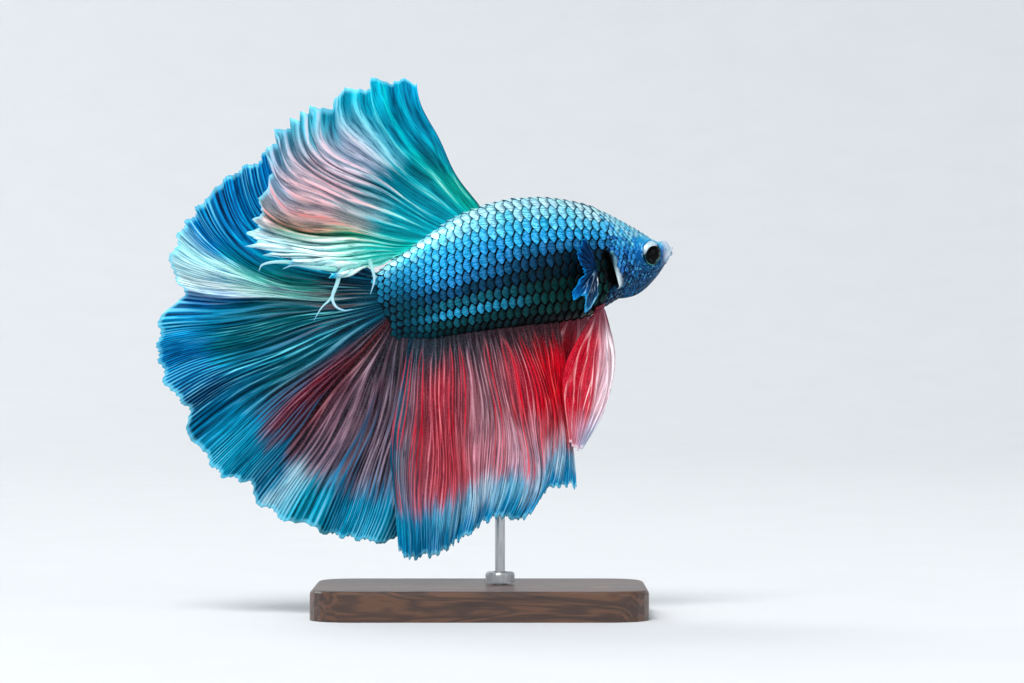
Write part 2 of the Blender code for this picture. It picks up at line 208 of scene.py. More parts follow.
class Nodes:
    """A material's node tree and the few ways in which it grows."""

    def __init__(self, name: str) -> None:
        """Starts a material with an empty tree."""
        self.material = bpy.data.materials.new(name)
        self.material.use_nodes = True
        self.tree = self.material.node_tree
        self.tree.nodes.clear()

    def node(
        self, kind: str, settings: Mapping[str, object], feeds: Mapping[str | int, Feed]
    ) -> bpy.types.Node:
        """Adds a node.

        Args:
            kind: The node's type.
            settings: What is set on it first; "stops" fills a ramp.
            feeds: Values, links or colours written as #rrggbb, by socket identifier or index.

        Returns:
            The new node.
        """
        made = self.tree.nodes.new(kind)
        for key, setting in settings.items():
            if key == "stops":
                self._fill(made.color_ramp, setting)
            else:
                setattr(made, key, setting)
        for key, feed in feeds.items():
            socket = made.inputs[key] if isinstance(key, int) else self._find(made, key)
            if isinstance(feed, Value):
                self.tree.links.new(feed.socket, socket)
            elif isinstance(feed, bpy.types.NodeSocket):
                self.tree.links.new(feed, socket)
            elif isinstance(feed, str):
                socket.default_value = linear(feed)
            else:
                socket.default_value = feed
        return made

    def _find(self, node: bpy.types.Node, key: str) -> bpy.types.NodeSocket:
        """The input socket with this identifier, or this name."""
        return next(s for s in node.inputs if key in (s.identifier, s.name))

    def _fill(self, ramp: bpy.types.ColorRamp, stops: Stops) -> None:
        """Sets a ramp's stops, in rising order."""
        while len(ramp.elements) < len(stops):
            ramp.elements.new(1.0)
        for element, (place, code) in zip(ramp.elements, stops):
            element.position = place
            element.color = linear(code)

    def attribute(self, name: str) -> Value:
        """A number stored on the mesh."""
        made = self.node("ShaderNodeAttribute", {"attribute_name": name}, {})
        return Value(self, made.outputs["Fac"])

    def surface(self) -> tuple[Value, Value]:
        """The two coordinates of the piece's own surface map."""
        read = self.node("ShaderNodeUVMap", {"uv_map": SURFACE_MAP}, {})
        split = self.node("ShaderNodeSeparateXYZ", {}, {0: read.outputs["UV"]})
        return Value(self, split.outputs["X"]), Value(self, split.outputs["Y"])

    def place(self) -> bpy.types.NodeSocket:
        """The object's own coordinates, in metres."""
        return self.node("ShaderNodeTexCoord", {}, {}).outputs["Object"]

    def join(self, x: Feed, y: Feed, z: Feed = 0.0) -> bpy.types.NodeSocket:
        """One vector of three numbers."""
        return self.node("ShaderNodeCombineXYZ", {}, {0: x, 1: y, 2: z}).outputs[0]

    def stretch(self, vector: bpy.types.NodeSocket, scale: Sequence[float]) -> bpy.types.NodeSocket:
        """A vector scaled along each axis."""
        return self.node("ShaderNodeVectorMath", {"operation": "MULTIPLY"}, {0: vector, 1: scale}).outputs[0]

    def noise(
        self, vector: bpy.types.NodeSocket, scale: float, detail: float = 2.0, twist: float = 0.0
    ) -> Value:
        """Cloudy noise between 0 and 1.

        Args:
            vector: Where it is read.
            scale: Clouds in a unit of length.
            detail: Octaves.
            twist: How far it is distorted.

        Returns:
            The noise.
        """
        feeds = {"Vector": vector, "Scale": scale, "Detail": detail, "Distortion": twist}
        return Value(self, self.node("ShaderNodeTexNoise", {}, feeds).outputs["Fac"])

    def ramp(self, place: Value, stops: Stops) -> bpy.types.NodeSocket:
        """The colour at a place along a row of stops."""
        return self.node("ShaderNodeValToRGB", {"stops": stops}, {0: place}).outputs["Color"]

    def mix(self, share: Feed, first: Feed, second: Feed, blend: str = "MIX") -> bpy.types.NodeSocket:
        """Goes from the first colour to the second.

        Args:
            share: How much of the second shows.
            first: The colour at 0, as a link or a colour.
            second: The colour at 1.
            blend: The way of mixing.

        Returns:
            The mixed colour.
        """
        settings = {"data_type": "RGBA", "blend_type": blend, "clamp_factor": True}
        feeds = {"Factor_Float": share, "A_Color": first, "B_Color": second}
        made = self.node("ShaderNodeMix", settings, feeds)
        return next(s for s in made.outputs if s.identifier == "Result_Color")

    def shade(self, share: Feed, colour: Feed, tint: Feed) -> bpy.types.NodeSocket:
        """A colour darkened by a tint."""
        return self.mix(share, colour, self.mix(1.0, colour, tint, "MULTIPLY"))

    def gleam(self, share: Feed, colour: Feed, tint: Feed, strength: float) -> bpy.types.NodeSocket:
        """A colour lightened by a tint."""
        return self.mix(share, colour, self.mix(strength, colour, tint, "SCREEN"))

    def vivid(self, colour: Feed, saturation: float, brightness: float) -> bpy.types.NodeSocket:
        """A colour made stronger and brighter."""
        feeds = {"Saturation": saturation, "Value": brightness, "Color": colour}
        return self.node("ShaderNodeHueSaturation", {}, feeds).outputs["Color"]

    def bump(self, height: Value, distance: float, strength: float = 1.0) -> bpy.types.NodeSocket:
        """Relief from a height between 0 and 1, at that depth in millimetres."""
        feeds = {"Height": height, "Distance": distance * MM, "Strength": strength}
        return self.node("ShaderNodeBump", {}, feeds).outputs[0]

    def finish(self, feeds: Mapping[str, Feed]) -> bpy.types.Material:
        """Closes the tree with the surface shader and gives back the material."""
        shader = self.node("ShaderNodeBsdfPrincipled", {}, feeds)
        self.node("ShaderNodeOutputMaterial", {}, {0: shader.outputs[0]})
        return self.material


@dataclass(frozen=True)
class BodyShape:
    """The sections that make the body, as the solids have them."""

    spine: tuple[tuple[float, float, float], ...] = (
        (28.8, 11.5, 55.0),
        (14.6, 3.0, 54.4),
        (-0.2, -2.6, 51.8),
        (-13.4, -4.5, 46.6),
    )
    back_height: Stations = (
        (0.0, 0.35), (0.02, 1.15), (0.05, 1.5), (0.08, 2.1), (0.15, 4.2), (0.25, 6.9),
        (0.4, 9.35), (0.55, 10.1), (0.7, 9.45), (0.8, 8.0), (0.9, 6.4), (1.0, 5.2),
    )
    belly_depth: Stations = (
        (0.0, 0.9), (0.02, 2.2), (0.06, 4.3), (0.11, 5.85), (0.2, 7.0), (0.3, 8.8),
        (0.4, 9.25), (0.6, 8.6), (0.8, 7.65), (0.9, 7.0), (1.0, 5.7),
    )
    half_width: Stations = (
        (0.0, 0.6), (0.02, 1.4), (0.05, 2.15), (0.08, 2.7), (0.12, 3.15), (0.2, 3.7), (0.3, 4.1),
        (0.4, 4.15), (0.55, 3.9), (0.7, 3.2), (0.85, 2.2), (0.95, 1.4), (1.0, 1.0),
    )
    fullness: float = 0.9
    length: float = 46.5

    def spine_at(self, station: Array | float) -> tuple[Array, Array, Array, Array]:
        """Reads the spine.

        Args:
            station: 0 at the snout to 1 at the tail root.

        Returns:
            The point there, and the directions forward, left and up.
        """
        a, b, c, d = np.array(self.spine)
        s = column(station)
        r = 1.0 - s
        point = a * r**3 + 3 * b * r * r * s + 3 * c * r * s * s + d * s**3
        forward = unit((a - b) * r * r + 2 * (b - c) * r * s + (c - d) * s * s)
        left = unit(np.cross([0.0, 0.0, 1.0], forward))
        return point, forward, left, np.cross(forward, left)

    def surface(self, station: Array | float, degrees: Array | float, rise: Array | float = 0.0) -> Array:
        """Finds points on the flesh, or above it.

        Args:
            station: Where along the body.
            degrees: Where round it.
            rise: Height above the flesh.

        Returns:
            The points.
        """
        station, degrees, rise = np.broadcast_arrays(station, degrees, rise)
        point, _, left, up = self.spine_at(station)
        across, above = np.cos(np.radians(degrees)), np.sin(np.radians(degrees))
        width = read_stations(self.half_width, station)
        back, belly = (read_stations(row, station) for row in (self.back_height, self.belly_depth))
        height = np.where(above > 0, back, belly)
        aside = width * np.sign(across) * np.abs(across) ** self.fullness
        outward = unit(left * column(across / width) + up * column(above / height))
        return point + left * column(aside) + up * column(height * above) + outward * column(rise)


BODY = BodyShape()


@dataclass(frozen=True)
class GillCover:
    """The bony plate behind each cheek, standing off the body along its rear edge."""

    front: float = 0.16
    rear: float = 0.2655
    slant: float = 0.00093
    middle: float = -21.0
    half: float = 31.0
    root: float = 0.11
    lift: float = 0.12
    flare: float = 0.62
    fade: float = 0.4
    roundness: float = 0.8
    gap: Stations = ((-1.0, 0.018), (-0.6, 0.033), (-0.1, 0.034), (0.3, 0.022), (0.7, 0.01), (1.0, 0.006))

    def across(self, degrees: Array) -> Array:
        """Place across the cover, -1 at its lower end and 1 at its upper end."""
        turned = np.mod(degrees + 180.0, 360.0) - 180.0
        flank = np.where(np.abs(turned) > 90.0, np.sign(turned) * (180.0 - np.abs(turned)), turned)
        return (flank - self.middle) / self.half

    def weight(self, degrees: Array) -> Array:
        """How fully the cover shows at an angle."""
        return ease((1.0 - np.abs(self.across(degrees))) / self.fade)

    def edge(self, degrees: Array) -> Array:
        """Station of the free rear edge."""
        across = np.clip(self.across(degrees), -1.0, 1.0)
        return self.rear + self.slant * (self.middle + self.half * across)

    def behind(self, degrees: Array) -> Array:
        """Station where the flesh comes out again behind the free edge."""
        across = np.clip(self.across(degrees), -1.0, 1.0)
        return self.edge(degrees) + read_stations(self.gap, across)

    def rise(self, station: Array, degrees: Array) -> Array:
        """Height of the cover's outer face over the flesh."""
        bow = np.clip(1.0 - self.across(degrees) ** 2, 0.0, 1.0) ** self.roundness
        opened = self.flare * past(station, self.front, self.rear - self.front) * bow
        return past(station, self.root, 0.05) * self.weight(degrees) * (self.lift + opened)


COVER = GillCover()


@dataclass(frozen=True)
class EyeShape:
    """Where the eyes stand and how large they are."""

    station: float = 0.1
    offset: float = 2.2
    height: float = -0.4
    radius: float = 1.95
    depth: float = 1.35
    pupil_shift: float = 0.13

    def centre(self, side: Side) -> tuple[Array, Array, Array, Array]:
        """An eye's centre, and the directions forward, outward and up."""
        point, forward, left, up = BODY.spine_at(self.station)
        return point + left * self.offset * side.value + up * self.height, forward, left * side.value, up


EYE = EyeShape()


def read_points(mesh: bpy.types.Mesh) -> Array:
    """A mesh's vertices as rows of three numbers."""
    points = np.empty(len(mesh.vertices) * 3)
    mesh.vertices.foreach_get("co", points)
    return points.reshape(-1, 3)


def write_points(mesh: bpy.types.Mesh, points: Array) -> None:
    """Puts a mesh's vertices at points given in millimetres."""
    mesh.vertices.foreach_set("co", (points * MM).ravel())
    mesh.update()


def corners(mesh: bpy.types.Mesh) -> Array:
    """The vertex behind each corner of each face."""
    found = np.empty(len(mesh.loops), np.int64)
    mesh.loops.foreach_get("vertex_index", found)
    return found


def write_map(mesh: bpy.types.Mesh, name: str, pairs: Array) -> None:
    """Writes a UV map, one pair for each corner."""
    mesh.uv_layers.new(name=name).data.foreach_set("uv", np.ascontiguousarray(pairs, float).ravel())


def write_numbers(mesh: bpy.types.Mesh, **rows: Array) -> None:
    """Stores numbers on each vertex, each row under its own name."""
    for name, values in rows.items():
        made = mesh.attributes.new(name, "FLOAT", "POINT")
        made.data.foreach_set("value", np.ascontiguousarray(values, np.float32))


def face_outward(mesh: bpy.types.Mesh) -> None:
    """Turns every face of a closed mesh outward."""
    bm = bmesh.new()
    bm.from_mesh(mesh)
    bmesh.ops.recalc_face_normals(bm, faces=bm.faces[:])
    if bm.calc_volume(signed=True) < 0:
        bmesh.ops.reverse_faces(bm, faces=bm.faces[:])
    bm.to_mesh(mesh)
    bm.free()


def to_mesh(bm: bmesh.types.BMesh, name: str) -> bpy.types.Mesh:
    """Writes a bmesh to a new mesh and frees it."""
    mesh = bpy.data.meshes.new(name)
    bm.to_mesh(mesh)
    bm.free()
    return mesh


def add_piece(
    name: str, mesh: bpy.types.Mesh, material: bpy.types.Material, nodes: Sequence[str] = ()
) -> bpy.types.Object:
    """Adds a finished mesh to the fish.

    Args:
        name: The piece's name.
        mesh: Its mesh, in place.
        material: Its finish.
        nodes: The solids that it stands for.

    Returns:
        The new object.
    """
    piece = bpy.data.objects.new(name, mesh)
    bpy.context.scene.collection.objects.link(piece)
    mesh.materials.clear()
    mesh.materials.append(material)
    mesh.polygons.foreach_set("use_smooth", np.ones(len(mesh.polygons), bool))
    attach(piece, ROOT_BODY)
    if nodes:
        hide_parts(*nodes)
    LOG.info("%s: %d faces", name, len(mesh.polygons))
    return piece


@dataclass(frozen=True)
class SkinFinish:
    """Skin of the head and the dark skin between the scales, paler up the back partly through painted top
    light, with painted shade in the mouth's slit and painted shadow in the gill openings.
    """

    # Colours from belly to back: partly the skin's own colour, partly painted top light on the back and
    # painted shade on the belly.
    flank: Stops = (
        (0.0, "#022038"), (0.18, "#033052"), (0.36, "#04447a"), (0.5, "#0660aa"), (0.62, "#1186cc"),
        (0.8, "#34b0e0"), (0.92, "#70cce8"), (1.0, "#a0dcf0"),
    )
    glow: str = "#7fc8ea"
    grime: str = "#2f5a80"
    comb: tuple[str, str] = ("#1474b0", "#02203a")
    flecks: tuple[str, str] = ("#3ca0dc", "#8fd6ee")
    snout: tuple[str, str, str] = ("#68b0cc", "#a4d0e2", "#e6dae6")
    lip: str = "#e4eaf2"
    mouth: str = "#0a2434"
    # Painted shade in the mouth's slit.
    rim: tuple[str, str] = ("#e6f3f6", "#6cc4dc")
    seam: str = "#040e1a"
    under: str = "#010306"
    # Painted shadow inside the gill openings under the covers.

    def make(self) -> bpy.types.Material:
        """Builds the material."""
        n = Nodes("betta_skin")
        place = n.place()
        station, height, gap = (n.attribute(name) for name in ("station", "height", "gap"))
        mottle = n.noise(place, 1300.0, 3.0, 0.5)
        fine = n.noise(place, 4200.0, 3.0)
        # Darker to the belly and paler to the back: partly the skin's own colour, partly painted top light
        # and belly shade.
        colour = n.ramp(height * 0.5 + 0.5 + (mottle - 0.5) * 0.2, self.flank)
        colour = n.gleam((fine * 0.6 + mottle * 0.4).step(0.52, 0.68) * 0.5, colour, self.glow, 0.8)
        colour = n.shade((1.0 - fine).step(0.48, 0.64) * 0.65, colour, self.grime)
        colour = self.streak(n, colour, station, height)
        fleck = n.noise(place, 2300.0, 1.0).step(0.6, 0.68) * height.step(-0.9, -0.3)
        colour = n.mix(fleck * 0.6, colour, n.mix(mottle.step(0.4, 0.6), *self.flecks))
        front = (1.0 - (station + (mottle - 0.5) * 0.03).step(0.018, 0.06)) * (height + 0.9).step(0.1, 0.6)
        pale = n.mix(fine.step(0.36, 0.56), *self.snout[:2])
        colour = n.mix(front * 0.94, colour, n.mix(mottle.step(0.38, 0.54) * 0.85, pale, self.snout[2]))
        colour = n.mix(n.attribute("lip") * 0.8, colour, n.mix(fine.step(0.35, 0.6), pale, self.lip))
        # Painted shade along the mouth's slit.
        colour = n.mix(n.attribute("mouth") * 0.85, colour, self.mouth)
        colour = n.mix(n.attribute("edge"), colour, n.mix((height + 0.3).step(-0.25, 0.4), *self.rim))
        colour = n.mix(n.attribute("scaled"), colour, self.seam)
        return n.finish(
            {
                # Near-black painted shadow where the skin folds in under the gill covers.
                "Base Color": n.mix(gap, colour, self.under),
                "Roughness": 0.34 + mottle * 0.2 + gap * 0.4,
                "Metallic": (1.0 - gap) * 0.25,
                "Normal": n.bump(mottle * 0.6 + fine * 0.4, 0.12, 0.6),
                "Specular IOR Level": 0.06,
            }
        )

    def streak(self, n: Nodes, colour: Feed, station: Value, height: Value) -> bpy.types.NodeSocket:
        """Combs upright streaks over the lower cheek.

        Args:
            n: The material's tree.
            colour: The colour so far.
            station: Place along the body.
            height: Place up the body, -1 to 1.

        Returns:
            The colour with its streaks.
        """
        comb = n.noise(n.join(station * 420.0, height * 5.0), 1.0, 2.0, 0.4)
        below = 1.0 - height.step(-0.35, 0.05)
        colour = n.mix(comb.step(0.48, 0.62) * below * 0.6, colour, self.comb[0])
        return n.mix((1.0 - comb).step(0.5, 0.64) * below * 0.5, colour, self.comb[1])


@dataclass(frozen=True)
class Ridge:
    """A raised ridge on the head, or a groove where its height is below zero."""

    height: float
    station: float
    run: float
    angle: float
    spread: float
    bend: float = 0.0

    def rise(self, station: Array, flank: Array) -> Array:
        """Its height at a station and an angle above the middle of the flank."""
        middle = self.station + self.bend * (flank + 10) ** 2 / 10
        return self.height * bell(station, middle, self.run) * bell(flank, self.angle, self.spread)


@dataclass
class Skin:
    """One unbroken skin from the lips to the tail root, in place of every solid of flesh."""

    rings: int = 240
    spokes: int = 232
    head_rise: float = -0.08
    body_rise: float = -0.2
    snout_bulge: float = 0.5
    tail_bulge: float = 1.5
    slit: tuple[float, float] = (2.1, -1.75)
    lip_ridge: tuple[float, float, float] = (0.2, 0.36, 0.24)
    slit_groove: tuple[float, float, float] = (-0.42, 0.0, 0.13)
    jaw_groove: float = -0.2
    orbit_rings: tuple[tuple[float, float, float], ...] = (
        (0.26, 0.14, 0.2), (0.16, 0.62, 0.22), (-0.12, 0.4, 0.12),
    )
    socket_depth: float = 1.2
    socket_edge: float = 0.55
    head_end: float = 0.3
    bare_until: float = 0.275
    rim_ring: float = 0.577
    gap_rings: tuple[float, float] = (0.592, 0.69)
    path: Stations = (
        (0.0, 0.0), (0.02, 0.0), (0.14, 0.03), (0.3, 0.085), (0.5, 0.18), (0.58, 0.235), (0.64, 0.265),
        (0.7, 0.296), (0.985, 1.0), (1.0, 1.0),
    )
    cover_rings: tuple[float, float, float] = (0.5, 0.58, 0.7)
    cover_front: float = 0.18
    fold: Stations = ((0.5, 0.0), (0.58, 1.0), (0.6, 0.96), (0.64, 0.5), (0.675, 0.85), (0.7, 1.6))
    tuck: Stations = ((0.58, 1.0), (0.6, 0.45), (0.64, -0.55), (0.675, -0.95), (0.69, -0.7), (0.7, -0.3))
    ridges: tuple[Ridge, ...] = (
        Ridge(0.16, 0.152, 0.007, -22.0, 32.0, 0.00016),
        Ridge(-0.14, 0.172, 0.006, -22.0, 32.0, 0.00016),
        Ridge(0.55, 0.15, 0.055, -74.0, 20.0),
        Ridge(-0.6, 0.235, 0.03, -86.0, 24.0),
        Ridge(0.42, 0.016, 0.016, 80.0, 34.0),
        Ridge(-0.12, 0.052, 0.012, 80.0, 30.0),
        Ridge(-0.25, 0.047, 0.0055, 44.0, 9.0),
        Ridge(0.1, 0.047, 0.011, 44.0, 18.0),
    )
    nodes: tuple[str, ...] = (
        "head", "jaw_lower", "gill_cover_left", "gill_cover_right", "trunk", "tail_base",
    )

    def ball(self) -> bpy.types.Mesh:
        """A sphere whose rings become the body's sections."""
        bm = bmesh.new()
        bmesh.ops.create_uvsphere(bm, u_segments=self.spokes, v_segments=self.rings, radius=1.0)
        return to_mesh(bm, "betta_skin")

    def stations(self, along: Array, degrees: Array) -> tuple[Array, Array]:
        """Lays each ring along the body, folding it in under the gill covers.

        Args:
            along: Share of the rings passed, 0 at the snout.
            degrees: Angle round the body.

        Returns:
            The station and the rise of each vertex.
        """
        first, lip, last = self.cover_rings
        cover = COVER.weight(degrees)
        plain = read_straight(self.path, along)
        rise = self.head_rise + (self.body_rise - self.head_rise) * past(plain, 0.2, 0.08)
        rise = rise * (1.0 - past(plain, COVER.root, 0.03) * cover * (plain < self.head_end))
        edge = COVER.edge(degrees)
        share = read_straight(self.fold, along)
        folded = self.cover_front + (edge - self.cover_front) * np.minimum(share, 1.0)
        folded = folded + (COVER.behind(degrees) - edge) * np.clip((share - 1.0) / 0.6, 0, 1)
        outer = COVER.rise(np.minimum(plain, folded), degrees)
        tucked = read_straight(self.tuck, along)
        under = np.where(tucked > 0, COVER.rise(edge, degrees) * tucked, tucked)
        weight = cover * (along > first) * (along < last)
        lifted = np.where(along < lip, outer, under)
        station = plain + (folded - plain) * weight
        before = (along <= first) * COVER.rise(plain, degrees)
        return station, rise * (1.0 - weight) + lifted * weight + before

    def relief(self, points: Array, station: Array, degrees: Array) -> tuple[Array, Array, Array]:
        """Works the mouth, nostrils and bony ridges into the head.

        Args:
            points: The bare head's points.
            station: Their stations.
            degrees: Their angles.

        Returns:
            The height to add outward, the share of lip and that of the mouth's slit.
        """
        tip, forward, _, up = BODY.spine_at(0.0)
        tip = tip + forward * self.snout_bulge
        behind, above = (tip - points) @ forward, (points - tip) @ up
        length = math.hypot(*self.slit)
        along = (behind * self.slit[0] + above * self.slit[1]) / length
        off = (-behind * self.slit[1] + above * self.slit[0]) / length
        front = 1.0 - ease((along - length + 0.3) / 0.5)
        (rise, rise_at, rise_half), (cut, cut_at, cut_half) = self.lip_ridge, self.slit_groove
        lips, slit = rise * bell(np.abs(off), rise_at, rise_half), cut * bell(off, cut_at, cut_half)
        flank = np.degrees(np.arcsin(np.clip(np.sin(np.radians(degrees)), -1, 1)))
        jaw_line = bell(flank, -66.0, 5.0) * past(station, 0.06, 0.04) * (1 - past(station, 0.2, 0.03))
        height = front * (lips + slit) + self.jaw_groove * jaw_line
        height = height + sum(ridge.rise(station, flank) for ridge in self.ridges)
        return height, front * bell(np.abs(off), 0.3, 0.42), front * bell(off, 0.0, 0.11)

    def orbit(self, points: Array) -> Array:
        """Raises a rim round each eye and sinks the skin behind it.

        A ring of the rim is its height, its distance outside the eye and half its width.

        Args:
            points: The skin's points.

        Returns:
            The points moved along each eye's axis.
        """
        moved = points.copy()
        for side in Side:
            centre, forward, outward, up = EYE.centre(side)
            away = points - centre
            radius = np.hypot(away @ forward, away @ up)
            facing = (away @ outward > -self.socket_depth).astype(float)
            rim = sum(size * bell(radius, EYE.radius + out, half) for size, out, half in self.orbit_rings)
            socket = self.socket_depth * (1.0 - ease((radius - EYE.radius + self.socket_edge) / 0.45))
            moved += column((rim - socket) * facing) * outward
        return moved

    def build(self) -> None:
        """Builds the skin and dresses it."""
        mesh = self.ball()
        ball = read_points(mesh)
        along = np.arccos(np.clip(ball[:, 2], -1, 1)) / np.pi
        degrees = np.mod(np.degrees(np.arctan2(ball[:, 1], ball[:, 0])), 360.0)
        station, rise = self.stations(along, degrees)
        points = BODY.surface(station, degrees, rise)
        caps = ((along, 0.02, self.snout_bulge, 0.0), (1.0 - along, 0.015, -self.tail_bulge, 1.0))
        for depth, high, bulge, end in caps:
            inside = depth <= high
            share = depth[inside] / high
            around = np.sin(np.clip(share, 0, 1) * np.pi / 2)
            core, forward, _, _ = BODY.spine_at(end)
            points[inside] = core + (points[inside] - core) * column(around)
            points[inside] += forward * column(bulge * np.sqrt(1.0 - around**2))
        height, lip, mouth = self.relief(points, station, degrees)
        outward = unit(points - BODY.spine_at(station)[0] + 1e-6)
        points += outward * column(height * (station < self.head_end))
        points = self.orbit(points)
        write_points(mesh, points)
        write_numbers(mesh, lip=lip, mouth=mouth)
        self.mark(mesh, along, degrees, station)
        face_outward(mesh)
        add_piece("skin", mesh, SkinFinish().make(), self.nodes)

    def mark(self, mesh: bpy.types.Mesh, along: Array, degrees: Array, station: Array) -> None:
        """Stores the skin's maps and the places of its markings.

        Args:
            mesh: The skin.
            along: Share of the rings passed.
            degrees: Angle round the body.
            station: Station along the body.
        """
        weight = COVER.weight(degrees)
        across = np.clip(COVER.across(degrees), -1.0, 1.0)
        ends = ease((1.0 + across) / 0.55) * ease((1.0 - across) / 0.2)
        opening, closing = self.gap_rings
        write_numbers(
            mesh,
            station=station,
            height=np.sin(np.radians(degrees)),
            gap=weight * past(along, opening, 0.01) * (1 - past(along, closing, 0.02)),
            edge=ends * bell(along, self.rim_ring, 0.007 + 0.013 * (1.0 - across**2)),
            scaled=1.0 - ease((self.bare_until - 0.02 * weight - station) / 0.02),
        )
        vertex = corners(mesh)
        turn = degrees[vertex] / 360.0
        starts = np.empty(len(mesh.polygons), np.int64)
        counts = np.empty(len(mesh.polygons), np.int64)
        mesh.polygons.foreach_get("loop_start", starts)
        mesh.polygons.foreach_get("loop_total", counts)
        owner = np.repeat(np.arange(len(counts)), counts)
        widest = np.maximum.reduceat(turn, starts)
        turn = np.where((widest[owner] > 0.75) & (turn < 0.25), turn + 1.0, turn)
        write_map(mesh, SURFACE_MAP, np.stack([turn, station[vertex]], axis=1))
        write_map(mesh, BAKE_MAP, np.stack([0.005 + turn * 0.985, 0.005 + along[vertex] * 0.99], axis=1))


@dataclass(frozen=True)
class ScaleFinish:
    """The blue and green gloss on a scale's bare part, paler up the back: partly its own colour and partly
    painted top light, with painted shade towards the belly, a painted highlight on each crown and painted
    shade round the crown and at the root.
    """

    name: str = "betta_scale_face"
    # Colours from belly to back ahead of the tail: partly the scales' own colour, partly painted top light on
    # the back and painted shade on the belly.
    high: Stops = (
        (0.0, "#0a1214"), (0.08, "#042024"), (0.18, "#023834"), (0.3, "#012a2a"), (0.42, "#011a22"),
        (0.5, "#02263a"), (0.57, "#034268"), (0.66, "#057cba"), (0.76, "#1cace2"), (0.85, "#60ccf0"),
        (0.92, "#a0e2f6"), (1.0, "#c4f0fa"),
    )
    # The same towards the tail: partly own colour, partly painted top light and belly shade.
    rear: Stops = (
        (0.0, "#041c20"), (0.1, "#03444c"), (0.22, "#066c86"), (0.3, "#045462"), (0.37, "#022e40"),
        (0.44, "#034a74"), (0.51, "#0476b4"), (0.6, "#0698dc"), (0.75, "#0ca8e6"), (0.88, "#34b8ea"),
        (0.96, "#8ce0f6"), (1.0, "#b4f0fc"),
    )
    green: str = "#60ffd0"
    stripe: tuple[str, str] = ("#0684a6", "#14a0d4")
    tail: tuple[str, str] = ("#02222c", "#044a5c")
    # Tint of the painted shade round each scale's crown.
    edge_shade: str = "#2c6c98"
    # Tint of the painted shadow cast by the scale in front onto each scale's root.
    root: str = "#1d4a66"
    pit: str = "#022850"
    flecks: tuple[str, str] = ("#4cb4ec", "#b4ecfa")
    speckle: float = 0.07
    fleck: float = 0.0

    def make(self) -> bpy.types.Material:
        """Builds the material."""
        n = Nodes(self.name)
        place = n.place()
        chance, height, along = (n.attribute(name) for name in ("chance", "height", "along"))
        station, crown = n.attribute("station"), n.attribute("crown")
        across, _ = n.surface()
        grain = n.noise(place, 4200.0, 3.0)
        cloud = n.noise(place, 420.0, 2.0)
        ridge = n.noise(n.join(across * 6.0, along * 1.6, chance * 40.0), 1.0, 2.0, 0.3)
        tone = height * 0.5 + 0.5 + (chance - 0.5) * self.speckle + (grain - 0.5) * 0.1 + (cloud - 0.5) * 0.1
        tone = tone + (1.0 - station.step(0.22, 0.34)) * height.step(0.3, 0.9) * 0.08
        # Paler up the back and darker to the belly, partly through painted top light and shade.
        colour = n.mix(station.step(0.42, 0.86), n.ramp(tone, self.high), n.ramp(tone, self.rear))
        colour = n.shade((chance * 37.0).sine().step(0.1, 1.0) * 0.2, colour, self.green)
        stripe = height.near(-0.52, 0.2) * station.step(0.45, 0.72)
        colour = n.mix(stripe * 0.8, colour, n.mix(chance, *self.stripe))
        fade = station.step(0.78, 0.95) * (1.0 - height.step(-0.1, 0.9) * 0.6)
        colour = n.mix(fade * 0.92, colour, n.mix(cloud, *self.tail))
        # Painted highlight on each scale's domed crown.
        crown_highlight = crown.step(0.3, 1.0) * ridge.step(0.42, 0.62) * (1.0 - fade * 0.6)
        colour = n.mix(crown_highlight * 0.75, colour, n.vivid(colour, 0.92, 1.8))
        # Painted shade away from the crown and in the lows of the ridge streaks.
        edge_shade = (1.0 - crown).step(0.3, 1.0) * 0.75 + (1.0 - ridge).step(0.5, 0.7) * 0.35
        colour = n.shade(edge_shade, colour, self.edge_shade)
        # Painted shadow from the overlapping scale in front, darkening each scale towards its root.
        colour = n.shade((1.0 - along).step(0.45, 0.9) * 0.6, colour, self.root)
        if self.fleck:
            pit = (1.0 - n.noise(place, 1900.0, 2.0)).step(0.52, 0.6) * (1.0 - height.step(0.3, 0.9))
            colour = n.mix(pit * 0.6, colour, self.pit)
            fleck = n.noise(place, 2300.0, 1.0).step(0.58, 0.64) * self.fleck
            colour = n.mix(fleck, colour, n.mix(height.step(0.2, 0.9), *self.flecks))
        return n.finish(
            {
                "Base Color": colour,
                "Roughness": 0.3 + grain * 0.2,
                "Metallic": 0.45,
                "Normal": n.bump(grain * 0.4 + ridge * 0.6, 0.07, 0.6),
                "Specular IOR Level": 0.06,
            }
        )


# Head colours from below to above: partly own colour, partly painted top light and painted shade underneath.
HEAD_TONES: Stops = (
    (0.0, "#012036"), (0.2, "#02345a"), (0.35, "#034480"), (0.48, "#0660b0"), (0.58, "#0f88d8"),
    (0.7, "#2cb0ea"), (0.84, "#6cd0f2"), (1.0, "#a4e2f6"),
)
HEAD_SCALES = ScaleFinish("betta_head_scale", HEAD_TONES, HEAD_TONES, speckle=0.5, fleck=0.75)


@dataclass(frozen=True)
class SeamFinish:
    """The dark plate that shows as a thin line round each bright face."""

    name: str = "betta_scale_plate"
    shade: str = "#010509"
    crest: str = "#3a88a4"
    tail: str = "#032a36"

    def make(self) -> bpy.types.Material:
        """Builds the material."""
        n = Nodes(self.name)
        grain = n.noise(n.place(), 1800.0, 2.0)
        height, chance = n.attribute("height"), n.attribute("chance")
        crest = (height * 0.8 + chance * 0.2).step(0.35, 1.0) * 0.9
        colour = n.mix(crest, self.shade, self.crest)
        colour = n.mix(n.attribute("station").step(0.8, 0.96) * 0.8, colour, self.tail)
        colour = n.mix(grain * 0.4, colour, "#02070c")
        rough = 0.45 + grain * 0.2
        return n.finish({"Base Color": colour, "Roughness": rough, "Specular IOR Level": 0.12})


